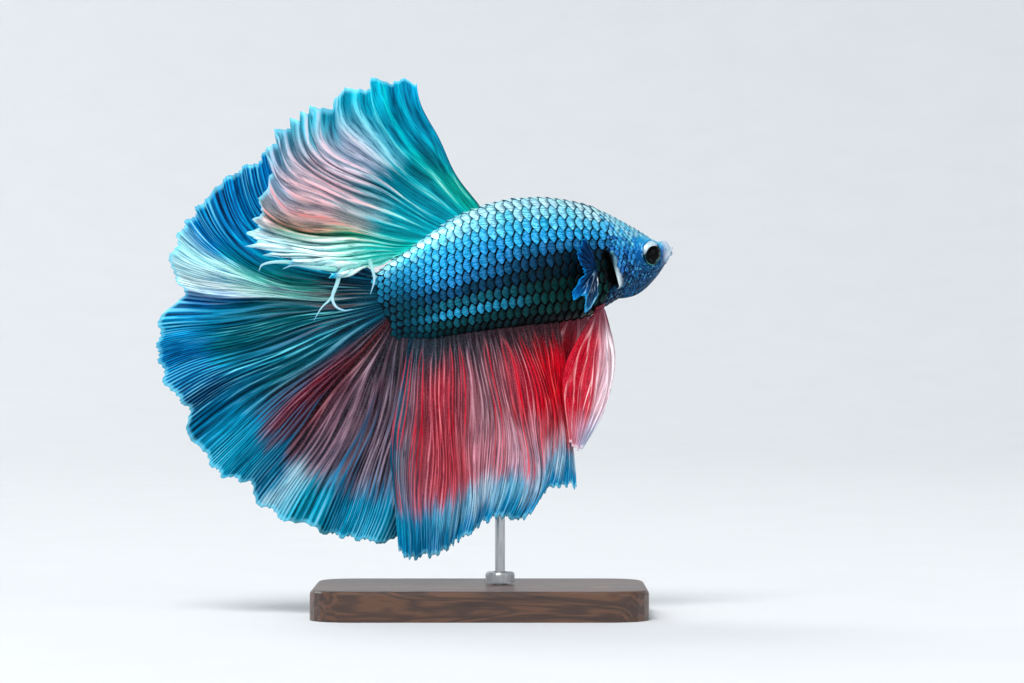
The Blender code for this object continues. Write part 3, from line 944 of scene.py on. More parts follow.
@dataclass
class ScaleField:
    """A lattice of scales over part of the body, each lapping over the next one back."""

    name: str
    rows: int
    pitch: Stations
    first: Callable[[Array], Array]
    last: Callable[[Array], Array]
    keep: Callable[[Array, Array], Array]
    lap: float = 1.75
    breadth: float = 1.42
    lift: float = -0.2
    tilt: float = 0.34
    thickness: float = 0.07
    dome: float = 0.07
    face_from: float = 0.3
    face_breadth: float = 0.82
    point: float = 0.58
    skew: float = 0.4
    seed: int = 5
    deep: bool = True
    sunk: float = 0.34
    sunk_by_cover: float = 0.8
    emerge: float = 0.016
    tail_from: float = 0.93
    cover_end: float = 0.28
    patch: float = 0.003
    table_station: float = 0.45
    seam: SeamFinish = SeamFinish()
    finish: ScaleFinish = ScaleFinish()

    def around(self, share: Array) -> Array:
        """Angle at a share of the way round, from the back down the right flank and up the left."""
        degrees = np.linspace(90.0, 450.0, 721)
        ring = BODY.surface(self.table_station, degrees)
        steps = np.linalg.norm(np.diff(ring, axis=0), axis=1)
        passed = np.concatenate([[0.0], np.cumsum(steps)])
        return np.interp(np.mod(share, 1.0), passed / passed[-1], degrees)

    def lattice(self) -> tuple[Array, Array, Array, Array]:
        """Places the roots.

        Returns:
            Each root's station, share of the way round, length in stations and a number of its own.
        """
        ruler = np.linspace(0.02, 1.3, 2000)
        count = np.cumsum((ruler[1] - ruler[0]) / read_stations(self.pitch, ruler))
        stations, shares = [], []
        for row in range(self.rows):
            share = row / self.rows
            degrees = self.around(np.array(share))
            low, high = (float(f(degrees)) for f in (self.first, self.last))
            low -= 0.03 * float(COVER.weight(degrees)) * self.deep
            offset = self.skew * min(row, self.rows - row) % 1.0
            begin = math.ceil(float(np.interp(low, ruler, count)) - offset)
            end = float(np.interp(high, ruler, count)) - offset
            places = np.arange(begin, end) + offset
            stations.append(np.interp(places, count, ruler))
            shares.append(np.full(len(places), share))
        station, share = np.concatenate(stations), np.concatenate(shares)
        kept = self.keep(station, self.around(share))
        station, share = station[kept], share[kept]
        chance = np.random.default_rng(self.seed).random(len(station))
        return station, share, read_stations(self.pitch, station) * self.lap, chance

    def pattern(self, face: bool) -> bpy.types.Mesh:
        """One scale as a small closed lens: x across it, y from -1 at its root to 1 at its free edge.

        Args:
            face: Whether this is the bright raised face or the thin plate under it.

        Returns:
            The mesh, with z 1 on the crown, 0 at the rim and -1 under it.
        """
        bm = bmesh.new()
        bmesh.ops.create_circle(bm, cap_ends=True, segments=16 if face else 14, radius=1.0)
        if not face:
            walls = bmesh.ops.extrude_face_region(bm, geom=bm.faces[:], use_keep_orig=True)
            raised = [v for v in walls["geom"] if isinstance(v, bmesh.types.BMVert)]
            bmesh.ops.translate(bm, vec=(0.0, 0.0, 1.0), verts=raised)
            top = max(bm.faces, key=lambda f: f.calc_center_median().z)
            bmesh.ops.poke(bm, faces=[top])
        else:
            under = bmesh.ops.duplicate(bm, geom=bm.faces[:])
            bottom = [f for f in under["geom"] if isinstance(f, bmesh.types.BMFace)]
            tops = [f for f in bm.faces if f not in bottom]
            bmesh.ops.inset_region(bm, faces=tops, thickness=0.3, depth=0.0)
            inner = [f for f in bm.faces if f not in bottom and len(f.verts) > 4]
            bmesh.ops.translate(bm, vec=(0.0, 0.0, 0.75), verts=inner[0].verts[:])
            poked = bmesh.ops.poke(bm, faces=inner)
            bmesh.ops.translate(bm, vec=(0.0, 0.0, 0.25), verts=poked["verts"])
            bmesh.ops.remove_doubles(bm, verts=bm.verts[:], dist=1e-5)
        bmesh.ops.recalc_face_normals(bm, faces=bm.faces[:])
        return to_mesh(bm, self.name)

    def spread(self, single: bpy.types.Mesh, copies: int) -> bpy.types.Mesh:
        """Joins many copies of one small mesh."""
        bm = bmesh.new()
        for _ in range(copies):
            bm.from_mesh(single)
        return to_mesh(bm, self.name)

    def coat(self, face: bool) -> bpy.types.Mesh:
        """Builds every plate, or every face, as one mesh.

        Args:
            face: Whether to build the faces.

        Returns:
            The mesh, with its maps and numbers.
        """
        station, share, length, chance = self.lattice()
        single = self.pattern(face)
        shape = read_points(single)
        mesh = self.spread(single, len(station))
        x, y, z = np.tile(shape, (len(station), 1)).T
        each = len(shape)
        station, share, length, chance = (np.repeat(v, each) for v in (station, share, length, chance))
        back = np.sin(np.radians(self.around(share)))
        low, high = (self.face_from, 0.935 + 0.03 * back) if face else (0.0, 1.0)
        y = y * (1.0 - self.point * np.abs(x) ** 1.5)
        along = low + (high - low) * (y + 1) / 2
        breadth = self.breadth * (self.face_breadth + 0.1 * back if face else 1.0) / self.rows / 2
        turn = self.around(share + x * breadth)
        where = station + length * along
        rise = self.lift + self.tilt * along * (0.75 + 0.5 * chance) - 0.08 * x * x
        sunk = self.sunk + self.sunk_by_cover * COVER.weight(turn) * self.deep
        rise = rise - sunk * (1.0 - past(where, self.first(turn), self.emerge))
        rise = rise - 0.3 * self.deep * past(where, self.tail_from, 0.08)
        crown = self.thickness + self.dome * z if face else self.thickness * z
        cover = COVER.rise(np.minimum(where, COVER.edge(turn)), turn)
        cover = cover + 0.09 * past(where, COVER.root, 0.03) * COVER.weight(turn)
        height = rise + crown + cover * (where < self.cover_end)
        write_points(mesh, BODY.surface(np.minimum(where, 1.04), turn, height))
        bare = (along - low) / (high - low)
        write_numbers(
            mesh, station=station, height=back, chance=chance, along=bare, crown=np.clip(z, 0.0, 1.0)
        )
        if face:
            write_map(mesh, SURFACE_MAP, np.stack([x, y], axis=1)[corners(mesh)])
        vertex = corners(mesh)
        half = self.patch * 0.5
        local = np.stack([share + x * half, station * 0.95 + y * half + 0.004], axis=1)
        write_map(mesh, BAKE_MAP, (0.004 + local * 0.99)[vertex])
        return mesh

    def build(self) -> None:
        """Builds the plates and the faces and dresses both."""
        add_piece(f"{self.name}_plates", self.coat(False), self.seam.make())
        add_piece(f"{self.name}_faces", self.coat(True), self.finish.make())


def trunk_start(degrees: Array) -> Array:
    """Station where the body's scales come out of the skin at an angle round the body."""
    back, belly_delay, cover_fade, overlap = 0.225, 0.02, 0.25, 0.004
    plain = back + belly_delay * ease(-np.sin(np.radians(degrees)))
    weight = ease((1.0 - np.abs(COVER.across(degrees))) / cover_fade)
    return plain + (COVER.behind(degrees) - overlap - plain) * weight


def to_the_tail(degrees: Array) -> Array:
    """Station where the body's scales end."""
    return np.ones_like(degrees)


def everywhere(station: Array, degrees: Array) -> Array:
    """Keeps every scale."""
    return np.ones(np.shape(station), bool)


def face_start(degrees: Array) -> Array:
    """Station where the head's small scales begin, later under the throat."""
    crown, throat_delay = 0.064, 0.038
    return crown + throat_delay * ease((-np.sin(np.radians(degrees)) - 0.55) / 0.35)


def face_end(degrees: Array) -> Array:
    """Station where they end, just under the body's first scales."""
    return trunk_start(degrees) + 0.013


def on_the_face(station: Array, degrees: Array) -> Array:
    """Keeps the head's small scales off the eyes and the gill covers' free edges."""
    bare_edge, bare_orbit, orbit_shift = 0.042, 0.55, 0.2
    points = BODY.surface(station, degrees)
    kept = (COVER.weight(degrees) <= 0.0) | (station < COVER.edge(degrees) - bare_edge)
    for side in Side:
        centre, forward, _, up = EYE.centre(side)
        away = points - centre
        kept &= np.hypot(away @ forward + orbit_shift, away @ up) > EYE.radius + bare_orbit
    return kept


@dataclass(frozen=True)
class EyeFinish:
    """A black pupil in a silver iris, under a wet gloss, with painted reflections as pale flecks on the
    pupil's lower part.
    """

    iris: tuple[str, str] = ("#062838", "#d2ebf3")
    fibre: str = "#2a8098"
    lower: str = "#5fb0a0"
    # The pupil's black, and the colour of its painted reflection flecks.
    pupil: tuple[str, str] = ("#000001", "#2f8c94")

    def make(self) -> bpy.types.Material:
        """Builds the material."""
        n = Nodes("betta_eye")
        ring, turn, height = (n.attribute(name) for name in ("ring", "turn", "height"))
        rays = n.noise(n.join(turn * 26.0, ring * 3.0), 1.0, 3.0)
        iris = n.mix((height + (rays - 0.5) * 0.35).step(0.2, 0.62), *self.iris)
        iris = n.mix(rays.step(0.5, 0.64) * 0.35, iris, self.fibre)
        drop = height * -1.0
        iris = n.mix(drop.step(0.2, 0.6) * ring.near(0.78, 0.06) * 0.6, iris, self.lower)
        # Painted reflection flecks on the lower part of the pupil.
        painted_glint = rays.step(0.56, 0.64) * ring.near(0.5, 0.16) * drop.step(0.1, 0.4)
        colour = n.mix(1.0 - ring.step(0.7, 0.74), iris, n.mix(painted_glint * 0.7, *self.pupil))
        return n.finish(
            {
                "Base Color": colour,
                "Roughness": 0.16 + rays * 0.06,
                "Metallic": ring.step(0.72, 0.78) * 0.4,
                "Normal": n.bump(rays * ring.step(0.72, 0.8), 0.05, 0.6),
                "Specular IOR Level": 0.05,
                "Coat Weight": 0.07,
                "Coat Roughness": 0.03,
            }
        )


@dataclass
class Eyeball:
    """One eye: a flattened ball with a raised iris round a domed pupil."""

    side: Side
    segments: int = 64
    iris_ridge: tuple[float, float, float] = (0.05, 0.84, 0.06)
    iris_groove: tuple[float, float, float] = (-0.05, 0.73, 0.03)
    pupil: float = 0.72
    pupil_dome: float = 0.14
    flatness: float = 0.94
    back_ring: float = 1.2

    def build(self) -> None:
        """Builds the eye and dresses it."""
        bm = bmesh.new()
        bmesh.ops.create_uvsphere(bm, u_segments=self.segments, v_segments=self.segments, radius=1.0)
        mesh = to_mesh(bm, "eye")
        ball = read_points(mesh)
        centre, forward, outward, up = EYE.centre(self.side)
        ring = np.hypot(ball[:, 0] - EYE.pupil_shift, ball[:, 1] + EYE.pupil_shift)
        front = ball[:, 2] > 0
        relief = self.pupil_dome * np.clip(1 - (ring / self.pupil) ** 2, 0, 1)
        for size, middle, half in (self.iris_ridge, self.iris_groove):
            relief = relief + size * bell(ring, middle, half)
        depth = ball[:, 2] * EYE.depth * self.flatness + relief * front
        points = centre + column(ball[:, 0] * EYE.radius) * forward
        points = points + column(ball[:, 1] * EYE.radius) * up + column(depth) * outward
        write_points(mesh, points)
        turn = np.arctan2(ball[:, 1], ball[:, 0]) / math.tau + 0.5
        height = ball[:, 1] - 0.5 * ball[:, 0]
        write_numbers(mesh, ring=np.where(front, ring, self.back_ring), turn=turn, height=height)
        face_outward(mesh)
        add_piece(f"eyeball_{self.side.word}", mesh, EyeFinish().make(), [f"eye_{self.side.word}"])


@dataclass(frozen=True)
class FinFinish:
    """Fin web and rays: colours along the fan for each zone out from the root, and the rays over them. The
    valleys between rays carry painted shade; the ray crests and the pale margin are partly their own colour
    and partly painted highlight.
    """

    name: str
    zones: tuple[tuple[float, float, Stops], ...]
    # Colours of the ray crests: partly the rays' own colour, partly painted highlight.
    rays: Stops
    ray_share: float = 0.8
    second_rays: Stops | None = None
    root_rays: str | None = None
    streaks: float = 70.0
    spread: float = 0.2
    wander: float = 0.05
    threads: float = 200.0
    saturation: float = 1.22
    brightness: float = 1.12
    # Share of painted shade in the valleys between the rays.
    valley_shade: float = 0.85
    # Tints of the painted valley shade along the fan.
    dark: Stops = ((0.0, "#223c4c"),)
    # Colour of the margin band: partly the fin's own edge colour, partly painted rim highlight.
    margin: str = "#8fdcf2"
    frost: str = "#9fdcf0"
    grime: str = "#4a6a80"
    hollow: str = "#5a7a90"
    metal: float = 0.25
    gloss: float = 0.34

    def make(self) -> bpy.types.Material:
        """Builds the material."""
        n = Nodes(self.name)
        u, v = n.surface()
        ray, lane = n.attribute("ray"), n.attribute("lane")
        streak = n.noise(n.join(u * self.streaks, v * 2.6), 1.0, 3.0, 0.4)
        broad = n.noise(n.join(u * 11.0, v * 3.0), 1.0, 2.0, 0.5)
        thread = n.noise(n.join(u * self.threads, v * 7.0), 1.0, 2.0, 0.3)
        speck = n.noise(n.place(), 5200.0, 3.0)
        across = u + (broad - 0.5) * self.wander + (streak - 0.5) * self.wander * 0.35
        out = v + (streak - 0.5) * self.spread + (broad - 0.5) * self.spread * 0.8
        colour = n.ramp(across, self.zones[0][2])
        for low, high, stops in self.zones[1:]:
            colour = n.mix(out.step(low, high), colour, n.ramp(across, stops))
        # Painted shade in the valleys between the rays, tinted along the fan.
        valley_shade = (1.0 - ray).step(0.3, 1.0) * ((1.0 - streak).step(0.35, 0.65) * 0.6 + 0.4) * self.valley_shade
        colour = n.shade(valley_shade, colour, n.ramp(across, self.dark))
        colour = n.gleam(speck.step(0.45, 0.7) * 0.08, colour, self.frost, 0.6)
        colour = n.shade((1.0 - speck).step(0.5, 0.75) * 0.2, colour, self.grime)
        colour = n.shade((1.0 - thread).step(0.5, 0.62) * 0.6, colour, self.hollow)
        # Ray crests lighter: partly the rays' own colour, partly painted highlight.
        bright = ray.step(0.4, 1.0) * (streak.step(0.35, 0.65) * 0.8 + 0.2) * (lane * 0.5 + 0.6)
        bright = bright * self.ray_share * v.step(0.02, 0.2) * (thread.step(0.4, 0.58) * 0.75 + 0.25)
        lines = n.ramp(across, self.rays)
        if self.root_rays is not None:
            lines = n.mix(1.0 - v.step(0.18, 0.42), lines, self.root_rays)
        colour = n.mix(bright, colour, lines)
        # Pale band along the margin, partly own edge colour and partly painted rim highlight.
        colour = n.mix(v.step(0.972, 0.996) * 0.65, colour, self.margin)
        if self.second_rays is not None:
            other = lane.step(0.55, 0.62) * ray.step(0.3, 0.9) * streak.step(0.36, 0.52) * v.step(0.03, 0.15)
            colour = n.mix(other * 0.9, colour, n.ramp(out, self.second_rays))
        return n.finish(
            {
                "Base Color": n.vivid(colour, self.saturation, self.brightness),
                "Roughness": self.gloss + speck * 0.25,
                "Metallic": self.metal,
                "Normal": n.bump(streak * 0.5 + thread * 0.35 + speck * 0.15, 0.1, 0.6),
                "Specular IOR Level": 0.06,
            }
        )


@dataclass(frozen=True)
class Crease:
    """A fold that runs out along a fin."""

    at: float
    half: float
    depth: float
    start: float = 0.2


@dataclass
class Fin:
    """A thin fan of forked rays and web between a root line and a run of tips."""

    name: str
    nodes: tuple[str, ...]
    finish: FinFinish
    tips: tuple[tuple[float, float, float], ...]
    rays: int
    bow: Stations = ((0.0, 0.0), (1.0, 0.0))
    sweep: Stations = ((0.0, 0.0), (1.0, 0.0))
    folds: float = 5.0
    fold_depth: Stations = ((0.0, 0.6), (1.0, 0.6))
    notch: float = 1.2
    ray_notch: float = 0.3
    spike: float = 0.9
    spacing: Stations = ((-1.0, -1.0), (2.0, 2.0))
    rib_width: float = 0.26
    notch_at: Stations = ((0.0, 1.0), (1.0, 1.0))
    pleat: float = 0.26
    waver: float = 0.35
    creases: tuple[Crease, ...] = ()
    crumple: float = 0.3
    columns: int = 420
    lines: int = 72
    sunk: float = 0.7
    forks: tuple[tuple[float, float], ...] = ((0.12, 0.4), (0.42, 0.75))
    thickness: float = 0.11
    ridge: float = 0.07
    base: float = 0.2
    span: tuple[float, float] = (0.0, 1.0)
    degrees: float = 90.0
    root_rise: float = 0.32
    fork_narrows: float = 0.45

    def root(self, u: Array) -> Array:
        """Points of the root line, which runs along the body."""
        low, high = self.span
        return BODY.surface(low + (high - low) * u, self.degrees, self.root_rise)

    def lean(self, u: Array, distance: Array) -> Array:
        """How far the fin leans to the left at a distance from its root."""
        return np.zeros_like(distance)

    def beat(self, u: Array) -> Array:
        """Rays passed at a place along the fan, unevenly spaced."""
        turn = self.rays * read_stations(self.spacing, u)
        return turn + 0.35 * np.sin(math.tau * turn / 5.3) + 0.15 * np.sin(math.tau * turn / 2.7 + 2.0)

    def rib(self, u: Array, v: Array) -> tuple[Array, Array]:
        """Finds how near a point is to the crest of a ray, and which ray it is.

        Args:
            u: Place along the fan.
            v: Place out from the root.

        Returns:
            1 on a crest down to 0 between rays, and the ray's number as a share between 0 and 1.
        """
        turn = self.beat(u)
        off = np.abs(np.mod(turn, 1.0) - 0.5)
        width = self.rib_width
        half = 0.5
        for low, high in self.forks:
            half = half / 2
            share = past(v, low, high - low)
            off = np.abs(off - half * share)
            width = width * (1.0 - self.fork_narrows * share)
        return np.exp(-((off / width) ** 2) * 2.2), np.mod(np.floor(turn) * 0.618034, 1.0)

    def reach(self, u: Array, full: Array) -> Array:
        """Distance from root to margin, with a point at each ray's end."""
        turn = self.beat(u)
        split = np.abs(np.cos(4.0 * np.pi * turn))
        size = 0.7 + 0.3 * np.sin(u * 61.0) * np.sin(u * 23.0 + 1.0)
        size = size * self.notch * read_stations(self.notch_at, u)
        return full - size * np.abs(np.cos(np.pi * turn)) ** self.spike - self.ray_notch * split

    def middle(self, u: Array, v: Array) -> Array:
        """The surface halfway through the fin.

        Args:
            u: Place along the fan, 0 to 1.
            v: Place out from the root, 0 to 1.

        Returns:
            The points.
        """
        start = self.root(u)
        places, xs, zs = np.array(self.tips).T
        tip_x = read_stations(tuple(zip(places, xs)), u)
        tip_z = read_stations(tuple(zip(places, zs)), u)
        ray = np.stack([tip_x - start[:, 0], np.zeros_like(u), tip_z - start[:, 2]], axis=1)
        full = np.linalg.norm(ray, axis=1)
        ray = ray / column(full)
        reach = self.reach(u, full)
        distance = reach * v - self.sunk * (1.0 - v)
        w = np.clip(distance / reach, 0.0, 1.0)
        across = np.stack([-ray[:, 2], np.zeros_like(u), ray[:, 0]], axis=1)
        sway = read_stations(self.bow, u) * np.sin(np.pi * w)
        sway = sway + read_stations(self.sweep, u) * np.sin(np.pi * w**3.4)
        sway = sway + self.waver * np.sin(math.tau * (1.3 * w + 3.1 * u)) * np.sin(np.pi * w)
        points = start + ray * column(distance) + across * column(sway)
        points[:, 1] += self.lean(u, np.maximum(distance, 0.0)) + self.relief(u, w)
        return points

    def relief(self, u: Array, w: Array) -> Array:
        """Sideways folds: the broad ones, the pleats between rays and the creases."""
        share = ease(1.3 * w)
        side = read_stations(self.fold_depth, u) * share * np.sin(math.tau * self.folds * u)
        turn = math.tau * self.beat(u)
        side = side + self.pleat * ease(w / 0.6) * np.cos(turn + 0.8 * np.sin(9.0 * w))
        side = side + 0.45 * self.pleat * past(w, 0.3, 0.4) * np.cos(2.0 * turn)
        crossing = np.sin(math.tau * (2.7 * self.folds * u + 0.6 * w)) * np.sin(5.0 * w + 11.0 * u)
        side = side + self.crumple * share * crossing
        for crease in self.creases:
            step = np.tanh((u - crease.at) / (crease.half * 0.22)) * bell(u, crease.at, crease.half)
            side = side + crease.depth * step * past(w, crease.start, 0.4)
        return side

    def slab(self) -> bpy.types.Mesh:
        """A closed slab of a unit square, its two faces at z 0 and 1."""
        bm = bmesh.new()
        bmesh.ops.create_grid(bm, x_segments=self.columns, y_segments=self.lines, size=0.5)
        bmesh.ops.translate(bm, vec=(0.5, 0.5, 0.0), verts=bm.verts[:])
        front = bmesh.ops.extrude_face_region(bm, geom=bm.faces[:], use_keep_orig=True)
        raised = [v for v in front["geom"] if isinstance(v, bmesh.types.BMVert)]
        bmesh.ops.translate(bm, vec=(0.0, 0.0, 1.0), verts=raised)
        return to_mesh(bm, self.name)

    def build(self) -> None:
        """Builds the fin and dresses it."""
        mesh = self.slab()
        u, v, side = read_points(mesh).T
        step = 1e-4
        centre = self.middle(u, v)
        along = self.middle(u + step, v) - self.middle(u - step, v)
        outward = self.middle(u, v + step) - self.middle(u, v - step)
        normal = unit(np.cross(along, outward) + 1e-12)
        ray, lane = self.rib(u, v)
        half = self.thickness * (1.0 - 0.55 * v) + self.ridge * ray * (1.0 - 0.5 * v)
        half = half + self.base * np.exp(-v / 0.06)
        write_points(mesh, centre + normal * column(half * (2.0 * side - 1.0)))
        write_numbers(mesh, ray=ray, lane=lane)
        self.map(mesh, u, v, side)
        face_outward(mesh)
        add_piece(self.name, mesh, self.finish.make(), self.nodes)

    def map(self, mesh: bpy.types.Mesh, u: Array, v: Array, side: Array) -> None:
        """Lays the two faces side by side in the baking map, with the rim in a strip below them.

        Args:
            mesh: The fin, all in four-sided faces.
            u: Each vertex's place along the fan.
            v: Its place out from the root.
            side: 0 or 1 for its face.
        """
        vertex = corners(mesh)
        a, b, s = u[vertex], v[vertex], side[vertex]
        write_map(mesh, SURFACE_MAP, np.stack([a, b], axis=1))
        boxes = [values.reshape(-1, 4) for values in (a, b, s)]
        low = [np.repeat(box.min(axis=1), 4) for box in boxes]
        high = [np.repeat(box.max(axis=1), 4) for box in boxes]
        rim = high[2] - low[2] > 0.5
        x = 0.01 + 0.48 * a + 0.5 * s
        y = 0.05 + 0.94 * b
        edge_x = np.where(low[1] > 0.999, 0.01 + 0.3 * a, 0.33 + 0.3 * a)
        edge_x = np.where(high[0] < 1e-6, 0.65 + 0.15 * b, edge_x)
        edge_x = np.where(low[0] > 0.999, 0.82 + 0.15 * b, edge_x)
        pairs = np.stack([np.where(rim, edge_x, x), np.where(rim, 0.005 + 0.03 * s, y)], axis=1)
        write_map(mesh, BAKE_MAP, pairs)


@dataclass
class MidlineFin(Fin):
    """A fin that stands on the back or hangs from the belly."""

    lean_base: float = -0.6
    lean_turn: float = -1.7
    lean_from: float = 0.0
    lean_until: float = 0.8
    lean_soft: float = 3.5
    lean_slope: float = -0.09

    def lean(self, u: Array, distance: Array) -> Array:
        """How far the fin leans to the left at a distance from its root."""
        share = past(u, self.lean_from, self.lean_until - self.lean_from)
        size = self.lean_base + self.lean_turn * share
        return size * (1.0 - np.exp(-((distance / self.lean_soft) ** 2))) + self.lean_slope * distance


@dataclass
class TailFin(Fin):
    """The great half-round fan behind the body."""

    top: float = 5.2
    bottom: float = 5.7
    bulge: float = 1.5
    lower_reach: float = 2.2
    lean_top: float = 0.13
    lean_loss: float = 0.08

    def root(self, u: Array) -> Array:
        """Points of the root line."""
        point, forward, _, up = BODY.spine_at(np.ones_like(u))
        back = self.root_rise + self.bulge * np.sin(np.pi * np.clip(u, 0, 1))
        back = back - self.lower_reach * past(u, 0.86, 0.14)
        return point + up * column(self.top - (self.top + self.bottom) * u) - forward * column(back)

    def lean(self, u: Array, distance: Array) -> Array:
        """How far the fin leans to the left at a distance from its root."""
        return (self.lean_top - self.lean_loss * ease(u / 0.5)) * distance


@dataclass
class PelvicFin(Fin):
    """One of the pair of narrow leaves under the throat."""

    side: Side = Side.RIGHT

    def lean(self, u: Array, distance: Array) -> Array:
        """How far the fin leans to the left at a distance from its root."""
        return self.side.value * (0.09 * distance + 0.4 * ease(distance / 0.5))

    def relief(self, u: Array, w: Array) -> Array:
        """Sideways folds."""
        side = 0.35 * np.sin(np.pi * w) ** 2 * np.sin(math.tau * 1.5 * u)
        return side + self.pleat * ease(w / 0.5) * np.cos(math.tau * self.rays * u)


@dataclass
class PectoralFin(Fin):
    """One of the pair of fans behind the gill covers, lying along the flank."""

    side: Side = Side.RIGHT
    lengths: Stations = (
        (0.0, 4.6), (0.25, 3.9), (0.4, 2.9), (0.54, 3.1), (0.65, 5.0), (0.72, 6.1), (0.8, 4.3), (0.89, 5.9),
        (0.95, 5.1), (1.0, 3.6),
    )
    first_angle: float = 120.0
    fan: float = 134.0
    hub: float = 0.5
    root_station: float = 0.308
    root_depth: float = 1.6
    back_from: float = 2.0
    lift: float = 0.55
    stand_off: float = 1.7

    def middle(self, u: Array, v: Array) -> Array:
        """The surface halfway through the fin.

        Args:
            u: Place along the fan, 0 to 1.
            v: Place out from the root, 0 to 1.

        Returns:
            The points.
        """
        angle = np.radians(self.first_angle + self.fan * u)
        reach = self.hub + v * self.reach(u, read_stations(self.lengths, u))
        back, down = reach * np.cos(angle), reach * np.sin(angle)
        station = self.root_station - back / BODY.length
        above, below = (read_stations(row, station) for row in (BODY.back_height, BODY.belly_depth))
        flank = np.where(down > self.back_from, above, below)
        degrees = np.degrees(np.arcsin(np.clip((down - self.root_depth) / flank, -0.96, 0.96)))
        rise = self.lift + self.stand_off * ease(v) + 0.22 * v * np.sin(5 * np.pi * u)
        rise = rise + self.pleat * ease(v / 0.6) * np.cos(math.tau * self.rays * u)
        turned = degrees if self.side is Side.LEFT else 180.0 - degrees
        return BODY.surface(station, turned, rise)


DORSAL_FINISH = FinFinish(
    "betta_dorsal",
    (
        (0.0, 0.0, (
            (0.0, "#0a8f84"), (0.1, "#0fb49c"), (0.22, "#0ca4b0"), (0.4, "#12a8ba"), (0.6, "#16aeba"),
            (0.75, "#1fb8b0"), (0.9, "#5fd8c8"), (1.0, "#8feadc"),
        )),
        (0.2, 0.42, (
            (0.0, "#037c94"), (0.14, "#04868e"), (0.3, "#0e8a9c"), (0.45, "#5aa8b4"), (0.58, "#a0b4b8"),
            (0.68, "#a49c94"), (0.74, "#2f9a78"), (0.8, "#b4ecdc"), (0.9, "#8fe4d6"), (1.0, "#9aeee2"),
        )),
        (0.42, 0.62, (
            (0.0, "#0582a4"), (0.14, "#24acc4"), (0.22, "#80ccdc"), (0.32, "#d0ccda"), (0.5, "#dcc8d0"),
            (0.6, "#dcb8be"), (0.68, "#ccaaa8"), (0.73, "#a88474"), (0.76, "#4f9a7c"), (0.8, "#e4faf8"),
        )),
        (0.78, 0.97, (
            (0.0, "#0fa4d4"), (0.12, "#2cc0dc"), (0.3, "#5cd4e8"), (0.5, "#7cccdf"), (0.62, "#a8c4dc"),
            (0.7, "#bcb8c4"), (0.76, "#c8a8a4"), (0.8, "#eefcff"), (0.9, "#e0f8ff"), (0.96, "#3fb0d8"),
        )),
    ),
    (
        (0.0, "#14b0cc"), (0.13, "#4cdcd0"), (0.24, "#a8d8dc"), (0.32, "#f4c0c8"), (0.46, "#f6c4cc"),
        (0.6, "#f6b4ba"), (0.68, "#f0928c"), (0.75, "#f09886"), (0.79, "#ffffff"), (0.92, "#f4fcf9"),
        (1.0, "#d0f8ee"),
    ),
    root_rays="#c8fff2",
    streaks=46.0,
    threads=150.0,
    saturation=1.12,
    dark=(
        (0.0, "#2a8ca4"), (0.3, "#5a94a4"), (0.65, "#7a94a0"), (0.76, "#2a6a5a"), (0.8, "#a4d4dc"),
        (1.0, "#7cb4b4"),
    ),
)

TAIL_FINISH = FinFinish(
    "betta_tail",
    (
        (0.0, 0.0, (
            (0.0, "#034a6c"), (0.25, "#033c4c"), (0.45, "#03465e"), (0.62, "#04445c"), (0.66, "#40303c"),
            (0.7, "#4c1c22"), (0.84, "#3e3038"), (1.0, "#4c4048"),
        )),
        (0.16, 0.4, (
            (0.0, "#0878b0"), (0.1, "#0c88b4"), (0.17, "#1a9c94"), (0.23, "#7fdccc"), (0.29, "#c8f8ee"),
            (0.33, "#b8f2ea"), (0.345, "#086470"), (0.42, "#07707c"), (0.52, "#086a84"),
            (0.59, "#0a6a7c"), (0.63, "#4a4658"), (0.67, "#742430"), (0.73, "#5e202a"), (0.79, "#7c5c6a"),
            (1.0, "#8c7682"),
        )),
        (0.5, 0.72, (
            (0.0, "#0576bc"), (0.14, "#0682c0"), (0.19, "#36b4c0"), (0.24, "#c8f6ea"), (0.33, "#f0fffa"),
            (0.345, "#0a6a94"), (0.45, "#0c8090"), (0.55, "#0a6f98"), (0.62, "#1c7898"),
            (0.68, "#6a3444"), (0.74, "#5c3c4a"), (0.77, "#665464"), (0.82, "#7c6878"), (0.92, "#807484"),
            (1.0, "#8c7884"),
        )),
        (0.69, 0.85, (
            (0.0, "#0488d4"), (0.1, "#0276be"), (0.2, "#0880c4"), (0.235, "#c4f2f6"), (0.31, "#f4ffff"),
            # The dark stop at 0.55 is a painted fold shadow between the lobes.
            (0.345, "#1470b8"), (0.4, "#44a8dc"), (0.46, "#0c80c4"), (0.55, "#06386c"), (0.6, "#148cb8"),
            (0.66, "#0c98bc"), (0.745, "#0c8cb4"), (0.775, "#b4e4f2"), (0.81, "#3fb4d0"),
            (0.9, "#1096bc"), (1.0, "#1498bc"),
        )),
    ),
    (
        (0.0, "#3cc0f0"), (0.18, "#6fdcec"), (0.24, "#f4fffb"), (0.335, "#f8fffd"), (0.36, "#9cecf0"),
        (0.5, "#94e8e8"), (0.6, "#a4e0f4"), (0.66, "#6a8ea8"), (0.7, "#b06a66"), (0.78, "#b096a0"),
        (0.9, "#b8b0c4"), (1.0, "#c4b0b8"),
    ),
    ray_share=0.95,
    saturation=1.14,
    threads=260.0,
    second_rays=((0.0, "#3a2026"), (0.3, "#4a2a34"), (0.75, "#2f7fa6"), (1.0, "#7fc8e0")),
    streaks=95.0,
    valley_shade=0.95,
    # Tints of the painted valley shade; the darkest, from 0.47 to 0.6, is a painted fold shadow between the
    # lobes.
    dark=(
        (0.0, "#12324a"), (0.18, "#12324a"), (0.23, "#9cc8c8"), (0.33, "#9cc8c8"), (0.345, "#0c2a38"),
        (0.47, "#123448"), (0.54, "#061426"), (0.6, "#103444"), (0.7, "#2c2c3a"), (1.0, "#3c3c4a"),
    ),
)

